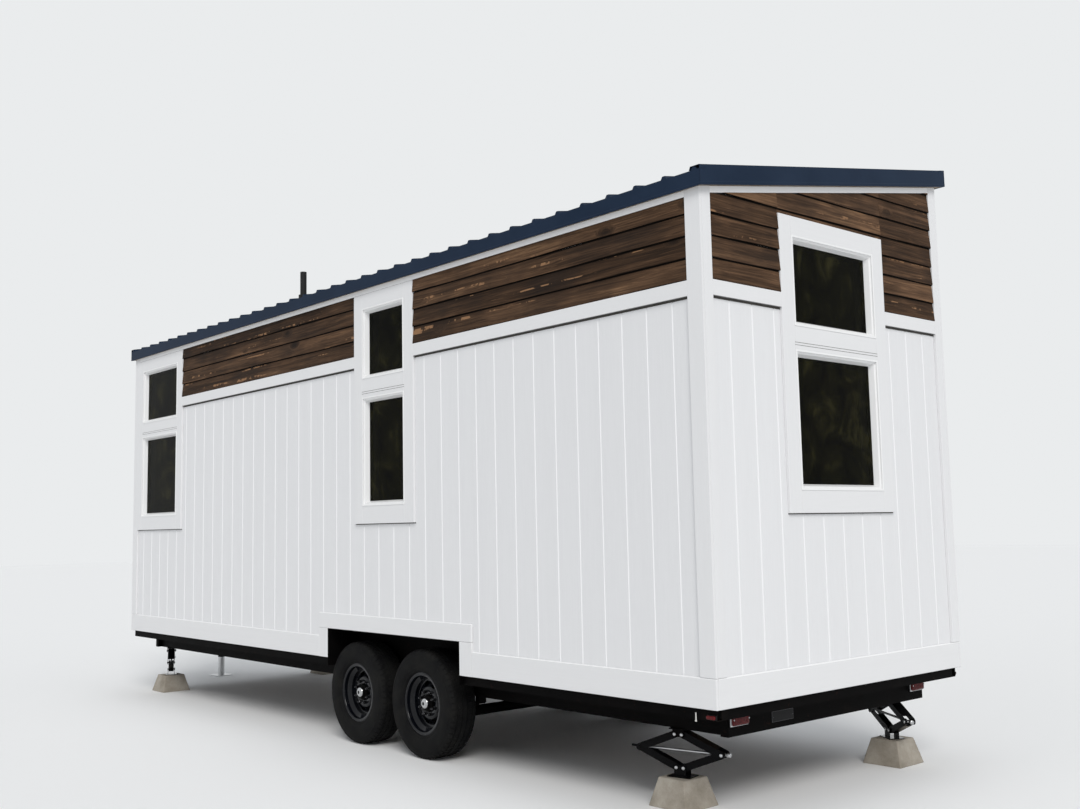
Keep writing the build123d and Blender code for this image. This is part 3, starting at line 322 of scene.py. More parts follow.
def metalFinish(name, color, rough, wear):
    finish = Finish(name, color, rough, 1.0)
    cloud = finish.noise(finish.place(), 60.0)
    dull = tuple(value * (1 - wear) for value in color)
    finish.dress({"Base Color": finish.blend(cloud, dull, color), "Roughness": rough + wear * 0.4 * cloud})
    finish.bump(cloud, 0.2, 0.0004)
    return finish.material


# black trailer paint, made darker than black paint as painted shade under the house: dusty in places, with primer
# showing through a few chips
def framePaintFinish():
    finish = Finish("shadedFramePaint", (0.003, 0.003, 0.003), 0.55, shine=0.03)
    spot = finish.place()
    cloud = finish.noise(spot, 4.0, 5.0, 0.6)
    chips = finish.noise(spot, 22.0, 5.0, 0.7).above(0.66, 0.05)
    stops = [(0.35, (0.0016, 0.0016, 0.0016)), (0.6, (0.0036, 0.0032, 0.0032)), (0.8, (0.009, 0.0075, 0.0065))]
    tone = finish.blend(chips * 0.5, finish.ramp(cloud, stops), (0.024, 0.010, 0.007))
    finish.dress({"Base Color": tone, "Roughness": 0.4 + 0.35 * cloud})
    finish.bump(cloud, 0.3, 0.0008)
    return finish.material


def concreteFinish():
    finish = Finish("castConcrete", (0.34, 0.31, 0.265), 0.85, shine=0.2)
    spot = finish.place()
    cloud = finish.noise(spot, 7.0, 6.0, 0.6)
    sand = finish.noise(spot, 190.0, 3.0)
    pore = (0.13 - finish.cells(spot, 46.0)).above(0.0, 0.10) * finish.noise(spot, 11.0, 2.0).above(0.56, 0.12)
    stops = [(0.34, (0.25, 0.222, 0.18)), (0.5, (0.335, 0.30, 0.252)), (0.68, (0.43, 0.395, 0.34))]
    tone = finish.blend(pore * 0.7, finish.ramp(cloud * 0.8 + sand * 0.2, stops), (0.16, 0.145, 0.12))
    finish.dress({"Base Color": tone, "Roughness": 0.8 + 0.15 * sand})
    finish.bump(sand * 0.3 + cloud * 0.4 - pore, 0.5, 0.002)
    return finish.material


def lensFinish(name, color):
    finish = Finish(name, color, 0.22, 0.0, 0.25)
    cells = finish.cells(finish.place(), 90.0)
    finish.dress({"Base Color": finish.blend(cells, tuple(value * 0.45 for value in color), color)})
    finish.bump(cells, 0.5, 0.001)
    return finish.material


# interior boards along X, which show through the glass
def timberFinish(name, color, width):
    finish = Finish(name, color, 0.55)
    grain = finish.noise(finish.stretched(grainScale["X"]), 40.0, 5.0, 0.6, 0.8)
    _, y, z = finish.place().apart()
    seam = ((y + z) * (math.tau / width)).wave().above(0.985, 0.02)
    tone = finish.blend(grain, tuple(value * 0.72 for value in color), color)
    tone = finish.blend(seam, tone, tuple(value * 0.3 for value in color))
    finish.dress({"Base Color": tone, "Roughness": 0.45 + 0.25 * grain})
    finish.bump(grain * 0.3 - seam, 0.5, 0.002)
    return finish.material


# jack paint has a coat where it is seen at a slant
def jackFinish():
    finish = Finish("jackPaint", (0.0032, 0.0032, 0.0035), 0.34, shine=0.06, **{"Coat Roughness": 0.2})
    cloud = finish.noise(finish.place(), 30.0)
    slant = finish.node("ShaderNodeLayerWeight", {}, {"Blend": 0.5}, output=1)
    finish.dress({"Roughness": 0.26 + 0.18 * cloud, "Coat Weight": slant.above(0.72, 0.36)})
    finish.bump(cloud, 0.25, 0.0005)
    return finish.material


trimPaint = [paintedBoard("trimPaint" + axis, axis, (0.785, 0.785, 0.793), 0.035, 0.0012) for axis in "XYZ"]
sidingPaint = paintedBoard("sidingPaint", "Z", (0.785, 0.786, 0.797), 0.05, 0.0018)
# the grooves are painted paler than the panels: painted light
litGroovePaint = paintedBoard("litGroovePaint", "Z", (0.86, 0.862, 0.872), 0.03, 0.0006)
# grey paint for the trim boards' downward faces: painted shade
shadedUnderPaint = paintedBoard("shadedUnderPaint", "X", (0.33, 0.33, 0.335), 0.25, 0.0008)
# paler paint for the boards' upward faces and the frieze: painted highlight, and painted light against the eave's shade
highlightPaint = paintedBoard("highlightPaint", "X", (0.90, 0.90, 0.905), 0.03, 0.0004)
vinyl = vinylFinish()
darkGlass = glassFinish()
brownStain = [stainFinish("X", 1.0), stainFinish("Y", 1.28)]  # the end walls get a paler copy of the stain: painted light, for the brighter light on them
navySheet = sheetFinish("navySheet", (0.0112, 0.0222, 0.0450), 0.40, shine=0.05)
rubber = rubberFinish()
shadedFramePaint = framePaintFinish()
wheelPaint = sheetFinish("wheelPaint", (0.0020, 0.0025, 0.0042), 0.06, 0.0001, 0.26)
jackPaint = jackFinish()
lugSteel = metalFinish("lugSteel", (0.085, 0.085, 0.09), 0.20, 0.2)
zinc = metalFinish("zincPlate", (0.62, 0.63, 0.64), 0.32, 0.25)
chromeCap = metalFinish("capChrome", (0.50, 0.505, 0.51), 0.10, 0.08)
concrete = concreteFinish()
redLens = lensFinish("redLens", (0.125, 0.003, 0.0045))
# the interior pine is darkened: painted shade of the closed room
shadedPine = timberFinish("interiorPine", (0.21, 0.145, 0.085), 0.14)
floorBoard = timberFinish("floorBoard", (0.14, 0.09, 0.055), 0.16)
# near-black painted shadow for the laps' undersides and the band under each butt
lapShadow = sheetFinish("lapShadow", (0.0045, 0.003, 0.002), 0.8, 0.0004, 0.05)
ventBlack = sheetFinish("ventBlack", (0.012, 0.012, 0.013), 0.5, shine=0.2)
blackTrim = sheetFinish("blackTrim", (0.008, 0.008, 0.0085), 0.5, shine=0.15)
darkStripGrey = sheetFinish("darkStripGrey", (0.060, 0.056, 0.050), 0.6, shine=0.1)
paleStrap = sheetFinish("paleStrap", (0.62, 0.61, 0.58), 0.45)
alloy = metalFinish("brushedAlloy", (0.52, 0.52, 0.52), 0.36, 0.2)
doorGlass = sheetFinish("doorGlass", (0.008, 0.009, 0.009), 0.10, 0.0, 0.4)
print("finishes made")


# mesh helpers: shapes are built apart, given a tone, then joined into one piece
def newShape():
    shape = bmesh.new()
    shape.verts.layers.float.new("tone")
    return shape


def join(target, shape, tone=0.5, finish=0):
    layer = shape.verts.layers.float["tone"]
    for vert in shape.verts:
        vert[layer] = tone
    if finish is not None:
        for face in shape.faces:
            face.material_index = finish
    scrap = bpy.data.meshes.new("scrap")
    shape.to_mesh(scrap)
    shape.free()
    target.from_mesh(scrap)
    bpy.data.meshes.remove(scrap)


tilt = {"under": -0.6, "upper": 0.3}  # how far down or up a face has to look


# under and upper are the finishes of the faces that look down and up: under is a dark painted shade, upper a paler
# painted highlight
def finishPiece(name, shape, finishes, body="root", replaced=(), smooth=None, under=None, upper=None):
    bmesh.ops.recalc_face_normals(shape, faces=shape.faces)
    for face in shape.faces:
        if under is not None and face.normal.z < tilt["under"]:
            face.material_index = under
        if upper is not None and face.normal.z > tilt["upper"]:
            face.material_index = upper
    data = bpy.data.meshes.new(name)
    shape.to_mesh(data)
    shape.free()
    for finish in finishes:
        data.materials.append(finish)
    if smooth is not None:
        data.shade_smooth()
        data.set_sharp_from_angle(angle=math.radians(smooth))
    piece = bpy.data.objects.new(name, data)
    scene.collection.objects.link(piece)
    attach(piece, body)
    if replaced:
        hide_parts(*replaced)


def ease(shape, edge, segments, profile=0.5):
    bmesh.ops.bevel(shape, geom=shape.edges[:], offset=edge, segments=segments, affect="EDGES", profile=profile)


def block(low, high, edge=0.0, segments=1):
    shape = newShape()
    bmesh.ops.create_cube(shape, size=1.0)
    for vert in shape.verts:
        vert.co = Vector(min(a, b) + (c + 0.5) * abs(b - a) for a, b, c in zip(low, high, vert.co))
    if edge:
        ease(shape, edge, segments)
    return shape


def addBlock(target, low, high, edge=0.0, segments=1, finish=0):
    join(target, block(low, high, edge, segments), 0.5, finish)


# cuts a shape along a plane and closes it; the side that the normal points to goes
def cutAway(shape, point, normal):
    geometry = shape.verts[:] + shape.edges[:] + shape.faces[:]
    cut = bmesh.ops.bisect_plane(shape, geom=geometry, plane_co=point, plane_no=normal, clear_outer=True)
    edges = [item for item in cut["geom_cut"] if isinstance(item, bmesh.types.BMEdge)]
    if edges:
        bmesh.ops.edgenet_fill(shape, edges=edges)


def cutAtRoof(shape, rise):
    cutAway(shape, Vector((0, yLow, house["eave"] + rise)), roofUp)


# faces between rings of points, where a ring of one point is a tip
def loft(shape, rings, closed=False, capped=True):
    faces = []
    for first, second in zip(rings, rings[1:] + rings[:closed]):
        size = max(len(first), len(second))
        for k in range(size):
            m = (k + 1) % size
            ring = [first[k % len(first)], first[m % len(first)], second[m % len(second)], second[k % len(second)]]
            faces.append(shape.faces.new(list(dict.fromkeys(ring))))
    if capped:
        faces += [shape.faces.new(reversed(rings[0])), shape.faces.new(rings[-1])]
    return faces


def circle(shape, centre, first, second, radius, turns):
    return [shape.verts.new(centre + (first * math.cos(a) + second * math.sin(a)) * radius) for a in turns]


# a stud: rings of (radius, rise) stacked along one direction
def stud(target, spot, up, rings, sides, finish=0, turn=0.0):
    side = up.orthogonal().normalized()
    turns = [turn + math.tau * n / sides for n in range(sides)]
    shape = newShape()
    loft(shape, [circle(shape, spot + up * rise, side, up.cross(side), radius, turns) for radius, rise in rings])
    join(target, shape, 0.5, finish)


# a round bar bent along a path
def bentBar(target, path, radius, sides, finish=0):
    shape = newShape()
    turns = [math.tau * k / sides for k in range(sides)]
    side, rings = None, []
    for n, point in enumerate(path):
        run = (path[min(n + 1, len(path) - 1)] - path[max(n - 1, 0)]).normalized()
        side = side or run.orthogonal()
        side = (side - run * side.dot(run)).normalized()
        rings.append(circle(shape, point, side, run.cross(side), radius, turns))
    loft(shape, rings)
    join(target, shape, 0.5, finish)


# a sheet of cells with a front and a back; a cell that isn't there leaves a hole with closed sides,
# and mark gives the finish of a column's front faces
def cellSheet(shape, columns, rows, place, there, mark=lambda i: 0):
    corners = {}

    def corner(i, j, back):
        spot = place(i, j, back)
        key = tuple(round(value, 6) for value in spot)
        if key not in corners:
            corners[key] = shape.verts.new(spot)
        return corners[key]

    for i in range(columns):
        for j in range(rows):
            if not there(i, j):
                continue
            ring = [(i, j), (i + 1, j), (i + 1, j + 1), (i, j + 1)]
            shape.faces.new([corner(*key, False) for key in ring]).material_index = mark(i)
            shape.faces.new([corner(*key, True) for key in reversed(ring)])
            for (di, dj), (a, b) in (((0, -1), (0, 1)), ((1, 0), (1, 2)), ((0, 1), (2, 3)), ((-1, 0), (3, 0))):
                if not there(i + di, j + dj):
                    sides = ((ring[a], False), (ring[b], False), (ring[b], True), (ring[a], True))
                    shape.faces.new([corner(*key, back) for key, back in sides])


# openings: stacked pairs of windows, the arches over the wheels and the entry, placed back from the rear face
windows = {
    "wide": 0.864, "narrow": 0.572, "rows": ((1.811, 2.653), (2.796, 3.353)),
    "frontFromRear": 6.918, "narrowFromRear": 2.900, "proud": 0.003,
}
arch = {"low": xRear - 3.990, "high": xRear - 2.257, "head": 0.858, "trimTop": 0.981, "trim": 0.135}
entry = {"low": xRear - 5.600, "high": xRear - 4.690, "foot": 0.798, "head": 2.828}
frontEdge, narrowEdge = xRear - windows["frontFromRear"], xRear - windows["narrowFromRear"]
sidePairs = ((frontEdge - windows["wide"], frontEdge), (narrowEdge - windows["narrow"], narrowEdge))
endPairs = ((yMiddle - windows["wide"] / 2, yMiddle + windows["wide"] / 2),)
proud = house["trim"] + windows["proud"]

# walls: where each face stands, which way it looks, the axis it runs along and its window pairs
walls = {
    "left": {"face": yLow, "out": -1, "axis": "X", "pairs": sidePairs},
    "right": {"face": yHigh, "out": 1, "axis": "X", "pairs": sidePairs},
    "rear": {"face": xRear, "out": 1, "axis": "Y", "pairs": endPairs},
    "front": {"face": xFront, "out": -1, "axis": "Y", "pairs": endPairs},
}


def onWall(wall, u, w, z):
    deep = wall["face"] + wall["out"] * w
    return Vector((u, deep, z)) if wall["axis"] == "X" else Vector((deep, u, z))


# grooved panel siding, one closed sheet a wall
grooves = {
    "pitch": 0.2032, "sideStart": xRear - 0.22487, "endStart": yLow + 0.22726, "margin": 0.02,
    "mouth": 0.0068, "bottom": 0.0045, "depth": 0.0038,
}


def groovedSheet(name, wall):
    sideways = wall["axis"] == "X"
    low, high = (xFront, xRear) if sideways else (yLow + house["siding"], yHigh - house["siding"])
    start = grooves["sideStart"] if sideways else grooves["endStart"]
    centres = [start + grooves["pitch"] * n for n in range(-45, 45)]
    centres = [c for c in centres if low + grooves["margin"] < c < high - grooves["margin"]]
    holes = [(a, b, sill, head) for a, b in wall["pairs"] for sill, head in windows["rows"]]
    if sideways:
        holes.append((arch["low"], arch["high"], 0.0, arch["head"]))
    if name == "right":
        holes.append((entry["low"], entry["high"], entry["foot"], entry["head"]))

    def depthAt(u):
        gap = min(abs(u - c) for c in centres)
        slant = (grooves["mouth"] - gap) / (grooves["mouth"] - grooves["bottom"])
        return grooves["depth"] * min(1.0, max(0.0, slant))

    stops = {low: 0.0, high: 0.0}
    for centre in centres:
        for reach, depth in ((grooves["mouth"], 0.0), (grooves["bottom"], grooves["depth"])):
            stops[centre - reach] = stops[centre + reach] = depth
    for hole in holes:
        for u in hole[:2]:
            stops.setdefault(u, depthAt(u))
    us = sorted(stops)
    zs = sorted({house["skirtBottom"], *(z for hole in holes for z in hole[2:] if z > house["skirtBottom"])})
    zs.append(house["eave"])

    def place(i, j, back):
        top = roofHeight(wall["face"] if sideways else us[i])
        return onWall(wall, us[i], -house["siding"] if back else -stops[us[i]], top if j == len(zs) - 1 else zs[j])

    def there(i, j):
        if not (0 <= i < len(us) - 1 and 0 <= j < len(zs) - 1):
            return False
        u, z = (us[i] + us[i + 1]) / 2, (zs[j] + zs[j + 1]) / 2
        return not any(a < u < b and c < z < d for a, b, c, d in holes)

    shape = newShape()
    # groove faces take the paler paint: painted light
    cellSheet(shape, len(us) - 1, len(zs) - 1, place, there, lambda i: int(stops[us[i]] + stops[us[i + 1]] > 0))
    replaced = ("siding",) if name == "left" else ()
    finishPiece("siding" + name.capitalize(), shape, [sidingPaint, litGroovePaint], replaced=replaced)


for wallName, wall in walls.items():
    groovedSheet(wallName, wall)
print("siding hung")

# flat white boards, each with eased edges and a grain of its own
board = {
    "edge": 0.0022, "skirtEdge": 0.0050, "gap": 0.0006, "casing": 0.117, "casingBottom": 1.676, "endCasingTop": 3.470,
    "shortest": 0.05, "uncut": 4.3, "friezeUncut": 0.2, "roofGap": -0.0005,
}
gap = board["gap"]
trimFinishes = [*trimPaint, shadedUnderPaint, highlightPaint]
cornerInset = {"X": house["cornerBoard"] - house["trim"], "Y": house["endBoard"] - house["trim"]}
boardDraw = random.Random(4)


def wallBoard(target, wall, u, z, axis, edge=board["edge"], roofRise=None):
    shape = block(onWall(wall, u[0], 0.0, z[0]), onWall(wall, u[1], house["trim"], z[1]), edge, 2)
    if roofRise is not None:
        cutAtRoof(shape, roofRise)
    join(target, shape, boardDraw.random(), "XYZ".index(axis))


cornerBoards = newShape()
for wall in walls.values():
    sideways = wall["axis"] == "X"
    reach = house["trim"] if sideways else -gap
    for end, inward in zip((xFront, xRear) if sideways else (yLow, yHigh), (1, -1)):
        span = (end - inward * reach, end + inward * cornerInset[wall["axis"]])
        tall = (house["skirtTop"] + gap, board["uncut"])
        wallBoard(cornerBoards, wall, span, tall, "Z", roofRise=board["roofGap"])
finishPiece("cornerBoards", cornerBoards, trimFinishes, replaced=("corner_boards",), under=3)

skirt = newShape()
skirtHeight, postHeight = (house["skirtBottom"], house["skirtTop"]), (house["skirtBottom"], arch["head"] - gap)
archLow, archHigh = arch["low"] - arch["trim"], arch["high"] + arch["trim"]
sideSkirt = (
    ((xFront - house["trim"], archLow - gap), skirtHeight, "X"),
    ((archHigh + gap, xRear + house["trim"]), skirtHeight, "X"),
    ((archLow, arch["low"]), postHeight, "Z"),
    ((arch["high"], archHigh), postHeight, "Z"),
    ((archLow, archHigh), (arch["head"], arch["trimTop"]), "X"),
)
endSkirt = (((yLow + gap, yHigh - gap), skirtHeight, "Y"),)
for wall in walls.values():
    for span, tall, axis in sideSkirt if wall["axis"] == "X" else endSkirt:
        wallBoard(skirt, wall, span, tall, axis, board["edge"] if axis == "Z" else board["skirtEdge"])
finishPiece("skirtBoards", skirt, trimFinishes, replaced=("skirt_boards",), under=3, upper=4)

flat, casings = newShape(), newShape()
for wall in walls.values():
    axis, inset = wall["axis"], cornerInset[wall["axis"]]
    inner = (xFront + inset, xRear - inset) if axis == "X" else (yLow + inset, yHigh - inset)
    wall["spans"] = [(max(a - board["casing"], inner[0]), b + board["casing"]) for a, b in wall["pairs"]]
    ends = [inner[0], *(value for span in wall["spans"] for value in span), inner[1]]
    wall["bays"] = [(a, b) for a, b in zip(ends[0::2], ends[1::2]) if b - a > board["shortest"]]
    for bay in wall["bays"]:
        wallBoard(flat, wall, bay, (house["beltBottom"], house["beltTop"]), axis)
    low = onWall(wall, inner[0], 0.0, house["eave"] - board["friezeUncut"])
    shape = block(low, onWall(wall, inner[1], house["trim"], board["uncut"]))
    cutAtRoof(shape, board["roofGap"])
    cutAway(shape, Vector((0, yLow, house["eave"] - house["frieze"])), -roofUp)
    ease(shape, board["edge"], 2)
    # the frieze takes the paler paint: painted light against the eave's shade
    join(flat, shape, boardDraw.random(), 4)
    foot = roofHeight(wall["face"] + wall["out"] * house["trim"], -house["frieze"])
    head = foot if axis == "X" else board["endCasingTop"]
    (lowSill, lowHead), (highSill, highHead) = windows["rows"]
    for (start, stop), (a, b) in zip(wall["spans"], wall["pairs"]):
        for span in ((start, a), (b, stop)):
            wallBoard(casings, wall, span, (board["casingBottom"], head), "Z")
        for tall in ((board["casingBottom"], lowSill), (lowHead, highSill), (highHead, head)):
            wallBoard(casings, wall, (a + gap, b - gap), tall, axis)
replaced = ("belt_and_frieze_boards",)
finishPiece("beltAndFrieze", flat, trimFinishes, replaced=replaced, under=3, upper=4)
finishPiece("windowCasings", casings, trimFinishes, replaced=("window_casings",), under=3)

# thin dark grey strips that show as a line under the belt, the sills and over the lower windows
darkStrips = {
    "belt": 0.013, "sill": 0.006, "sunk": -0.003, "proud": 0.0035,
    "headLines": (0.026, 0.042), "headLine": 0.0022, "headOver": 0.004, "headSunk": -0.002, "headProud": 0.0007,
}
lines = newShape()
for wall in walls.values():
    thin = [(bay, house["beltBottom"], darkStrips["belt"]) for bay in wall["bays"]]
    thin += [(span, board["casingBottom"], darkStrips["sill"]) for span in wall["spans"]]
    for (a, b), z, tall in thin:
        addBlock(lines, onWall(wall, a, darkStrips["sunk"], z - tall), onWall(wall, b, darkStrips["proud"], z))
    for a, b in wall["pairs"]:
        for rise in darkStrips["headLines"]:
            z = windows["rows"][0][1] + rise
            low = onWall(wall, a - darkStrips["headOver"], house["trim"] + darkStrips["headSunk"], z)
            face = house["trim"] + darkStrips["headProud"]
            addBlock(lines, low, onWall(wall, b + darkStrips["headOver"], face, z + darkStrips["headLine"]))
finishPiece("darkStripLines", lines, [darkStripGrey])
print("trim boards nailed on")

# lapped boards above the belt: wavy along their butts; the butts' undersides and a band under each butt are painted
# near-black, a painted shadow
lap = {
    "exposure": 0.128, "butt": 0.020, "head": 0.007, "round": 0.004, "back": 0.0005, "shade": 0.0075,
    "chamfer": 0.0012, "lip": 0.0008, "step": 0.16, "waver": 0.0022, "thick": 0.0012,
    "overCasing": -0.0004, "shortest": 0.004, "roofGap": -0.0004,
}
lapProfile = [
    (lap["back"], 0.0), (lap["butt"] - lap["round"], 0.0),
    (lap["butt"] - lap["chamfer"], lap["chamfer"]), (lap["butt"], lap["round"]),
    ((lap["butt"] + lap["head"]) / 2, lap["exposure"] / 2), (lap["head"] + lap["lip"], lap["exposure"] - lap["shade"]),
    (lap["head"], lap["exposure"]), (lap["back"], lap["exposure"]),
]
lapDraw = random.Random(11)
laps = newShape()


def lapBoard(wall, low, high, z, foot):
    shape = newShape()
    count = max(2, round((high - low) / lap["step"]))
    phase, size = lapDraw.uniform(0, 6.28), lapDraw.uniform(0.5, 1.0) * lap["waver"]
    thick = lapDraw.uniform(-lap["thick"], lap["thick"])
    rings = []
    for n in range(count + 1):
        u = low + (high - low) * n / count
        sway = size * (math.sin(u * 3.1 + phase) + 0.6 * math.sin(u * 7.7 + phase * 2))
        ring = []
        for k, (w, h) in enumerate(lapProfile):
            lift = sway if k < 4 else 0.0
            bow = (thick + 0.5 * sway) if 0 < k < 5 else 0.0
            ring.append(shape.verts.new(onWall(wall, u, w + bow, z + h + lift)))
        rings.append(ring)
    size = len(lapProfile)
    for n, face in enumerate(loft(shape, rings)):
        # each board's top band, under the next butt, takes the painted shadow
        face.material_index = 2 if n % size == size - 3 else "XY".index(wall["axis"])
    cutAtRoof(shape, lap["roofGap"] - house["frieze"])
    if foot:
        cutAway(shape, upward * foot, -upward)
    join(laps, shape, lapDraw.random(), None)


for wall in walls.values():
    runs = [(a, b, gap, 0.0) for a, b in wall["bays"]]
    if wall["axis"] == "Y":
        (_, a), (b, _) = wall["bays"]
        runs.append((a, b, lap["overCasing"], board["endCasingTop"] + gap))
    for a, b, short, foot in runs:
        y = b if wall["axis"] == "Y" else wall["face"] + max(0, wall["out"]) * house["trim"]
        ceiling = roofHeight(y, -house["frieze"])
        z = house["beltTop"] + gap
        while z < ceiling - lap["shortest"]:
            if z + lap["exposure"] > foot:
                lapBoard(wall, a + short, b - short, z, foot)
            z += lap["exposure"]
stainsAndShadow = [*brownStain, lapShadow]
finishPiece("lappedBoards", laps, stainsAndShadow, replaced=("cedar_boards",), smooth=50, under=2)
print("lapped boards fixed")


# a moulding round a rectangle: the profile is (inset, distance outward)
def ringRound(target, wall, u, z, profile, face):
    shape = newShape()
    rings = []
    for s, d in profile:
        spots = ((u[0] + s, z[0] + s), (u[1] - s, z[0] + s), (u[1] - s, z[1] - s), (u[0] + s, z[1] - s))
        rings.append([shape.verts.new(onWall(wall, a, face + d, b)) for a, b in spots])
    loft(shape, rings, closed=True, capped=False)
    join(target, shape)


# window frames have a lip, a step and a glazing bead; jambs line the wall's thickness behind the glass
windowParts = {
    "windowJambs": (vinyl, (), [
        (0.030, -0.0755), (0.036, -0.0755), (0.038, -0.0775), (0.038, -0.0900), (0.0335, -0.0915), (0.0335, -0.1330),
        (0.030, -0.1335),
    ]),
    "windowFrames": (vinyl, ("window_frames",), [
        (0.0, -0.075), (0.0, -0.001), (0.001, 0.0), (0.011, 0.0), (0.0125, -0.0015), (0.0125, -0.012),
        (0.0145, -0.014), (0.023, -0.014), (0.025, -0.016), (0.0365, -0.044), (0.038, -0.0485), (0.038, -0.075),
    ]),
    "glassSpacers": (blackTrim, (), [(0.0385, -0.051), (0.0385, -0.064), (0.047, -0.064), (0.047, -0.051)]),
}
for name, (finish, replaced, profile) in windowParts.items():
    shape = newShape()
    for wall in walls.values():
        for pair in wall["pairs"]:
            for row in windows["rows"]:
                ringRound(shape, wall, pair, row, profile, proud)
    finishPiece(name, shape, [finish], replaced=replaced)
print("windows framed")

# sheet-metal trim round the roof: a hemmed eave strip and stepped caps up the rakes and along the high side
roofTrim = {
    "lowReach": 0.0532, "highReach": 0.0932, "rakeReach": 0.0582, "sheet": 0.0018, "bulge": 0.0017,
    "panTop": 0.0914, "ribTop": 0.1103, "drip": -0.003, "cap": 0.070,
}
drip, panTop, ribTop, cap, bulge = (roofTrim[key] for key in ("drip", "panTop", "ribTop", "cap", "bulge"))
yEave, yPeak = yLow - roofTrim["lowReach"], yHigh + roofTrim["highReach"]
xBack, xFore = xRear + roofTrim["rakeReach"], xFront - roofTrim["rakeReach"]
eavePath = [
    (-0.012, drip + 0.0005), (0.0, drip), (bulge, drip + 0.012), (0.0, drip + 0.016),
    (0.0, panTop - 0.002), (-0.055, panTop + 0.0012),
]
capPath = [
    (-0.012, drip + 0.0005), (0.0, drip), (bulge, drip + 0.014), (0.0, drip + 0.020), (0.0, ribTop + 0.0022),
    (-0.003, ribTop + 0.0040), (-cap, ribTop + 0.0040), (-cap, ribTop - 0.0005), (-cap - 0.008, panTop + 0.0015),
]


# a folded strip along a straight run: the path is (outward, up) from the roof's underside, thickened inwards
def strip(target, start, end, outward, path):
    inner = []
    for n, (w, h) in enumerate(path):
        (a, b), (c, d) = path[max(n - 1, 0)], path[min(n + 1, len(path) - 1)]
        run = Vector((c - a, d - b)).normalized() * roofTrim["sheet"]
        inner.append((w - run.y, h + run.x))
    shape = newShape()
    rings = []
    for x, y in (start, end):
        spots = [(x + outward[0] * w, y + outward[1] * w, h) for w, h in path + inner[::-1]]
        rings.append([shape.verts.new((a, b, roofHeight(b) + h)) for a, b, h in spots])
    loft(shape, rings)
    join(target, shape)


metalTrim = newShape()
strip(metalTrim, (xFore, yEave), (xBack, yEave), (0, -1), eavePath)
for x, out in ((xBack, 1), (xFore, -1)):
    strip(metalTrim, (x, yEave - bulge), (x, yPeak), (out, 0), capPath)
strip(metalTrim, (xFore - 0.001, yPeak), (xBack + 0.001, yPeak), (0, 1), capPath)
finishPiece("roofTrimSheets", metalTrim, [navySheet], replaced=("roof_trim",))

# screws with washers beside every rib, at each batten
screws = {
    "rows": (0.10, 0.62, 1.24, 1.86, 2.48), "pitch": 0.2286, "ribWidth": 0.044, "fromRib": 0.034, "sunk": 0.0005,
    "rings": [(0.0085, 0.0), (0.008075, 0.0016), (0.0055, 0.0020), (0.0055, 0.006), (0.0033, 0.0068)],
}
low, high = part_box("roof_panels")
ribCount = int((high.x - low.x - screws["ribWidth"]) / screws["pitch"]) + 1
ribStart = (low.x + high.x - (ribCount - 1) * screws["pitch"]) / 2
roofScrews = newShape()
for rib in range(ribCount):
    for row in screws["rows"]:
        x, y = ribStart + rib * screws["pitch"] + screws["fromRib"], yEave + row
        base = Vector((x, y, roofHeight(y, panTop))) - roofUp * screws["sunk"]
        stud(roofScrews, base, roofUp, screws["rings"], 6)
finishPiece("roofScrews", roofScrews, [navySheet])
print("roof trimmed and screwed")


# turned pieces: an outline of (radius, distance outward) spun about a wheel's axle, closed unless it starts on it
def turned(target, centre, out, profile, angles, finish=0, cut=lambda n, k: 0.0):
    shape = newShape()
    rings = []
    for k, (radius, reach) in enumerate(profile):
        ring = []
        for n, a in enumerate(angles if radius else [0.0]):
            size = radius - cut(n, k)
            spot = (centre.x + size * math.cos(a), centre.y + out * reach, centre.z + size * math.sin(a))
            ring.append(shape.verts.new(spot))
        rings.append(ring)
    loft(shape, rings, closed=profile[0][0] > 0, capped=False)
    join(target, shape, 0.5, finish)


tyre = {
    "pitches": 56, "steps": (0.0, 0.70, 0.75, 0.95), "shoulderCut": 0.0055, "ribCut": 0.0040,
    "half": [
        (0.2034, 0.0), (0.2034, 0.0880), (0.2215, 0.0884), (0.2255, 0.0990), (0.2330, 0.1062), (0.2380, 0.1082),
        (0.2410, 0.1070), (0.2440, 0.1094), (0.2613, 0.1142), (0.2843, 0.1170), (0.3073, 0.1175), (0.3284, 0.1163),
        (0.3380, 0.1148), (0.3404, 0.1162), (0.3433, 0.1140), (0.3553, 0.1100), (0.3658, 0.1045), (0.3744, 0.0985),
        (0.3804, 0.0905), (0.3826, 0.0830), (0.3835, 0.0675), (0.3759, 0.0665), (0.3759, 0.0585), (0.3840, 0.0575),
        (0.3848, 0.0255), (0.3771, 0.0245), (0.3771, 0.0165), (0.3850, 0.0155), (0.3850, 0.0),
    ],
    "shoulder": (17, 18, 19), "ribs": (20, 23, 24),
}


def tyrePiece(name, centre, out):
    half = tyre["half"]
    profile = half + [(radius, -reach) for radius, reach in reversed(half[1:-1])]
    last = 2 * len(half) - 2
    shoulder, ribs = ({*tyre[key], *(last - k for k in tyre[key])} for key in ("shoulder", "ribs"))
    angles = [math.tau * (p + step) / tyre["pitches"] for p in range(tyre["pitches"]) for step in tyre["steps"]]

    # the rows of blocks are staggered from rib to rib
    def cut(n, k):
        late = n % 4 >= 2
        if k in shoulder and late:
            return tyre["shoulderCut"]
        return tyre["ribCut"] if k in ribs and not late else 0.0

    piece = newShape()
    turned(piece, centre, out, profile, angles, cut=cut)
    body, replaced = name + "_wheel", (name + "_tyre",)
    finishPiece(name + "Tyre", piece, [rubber], body=body, replaced=replaced, smooth=32)


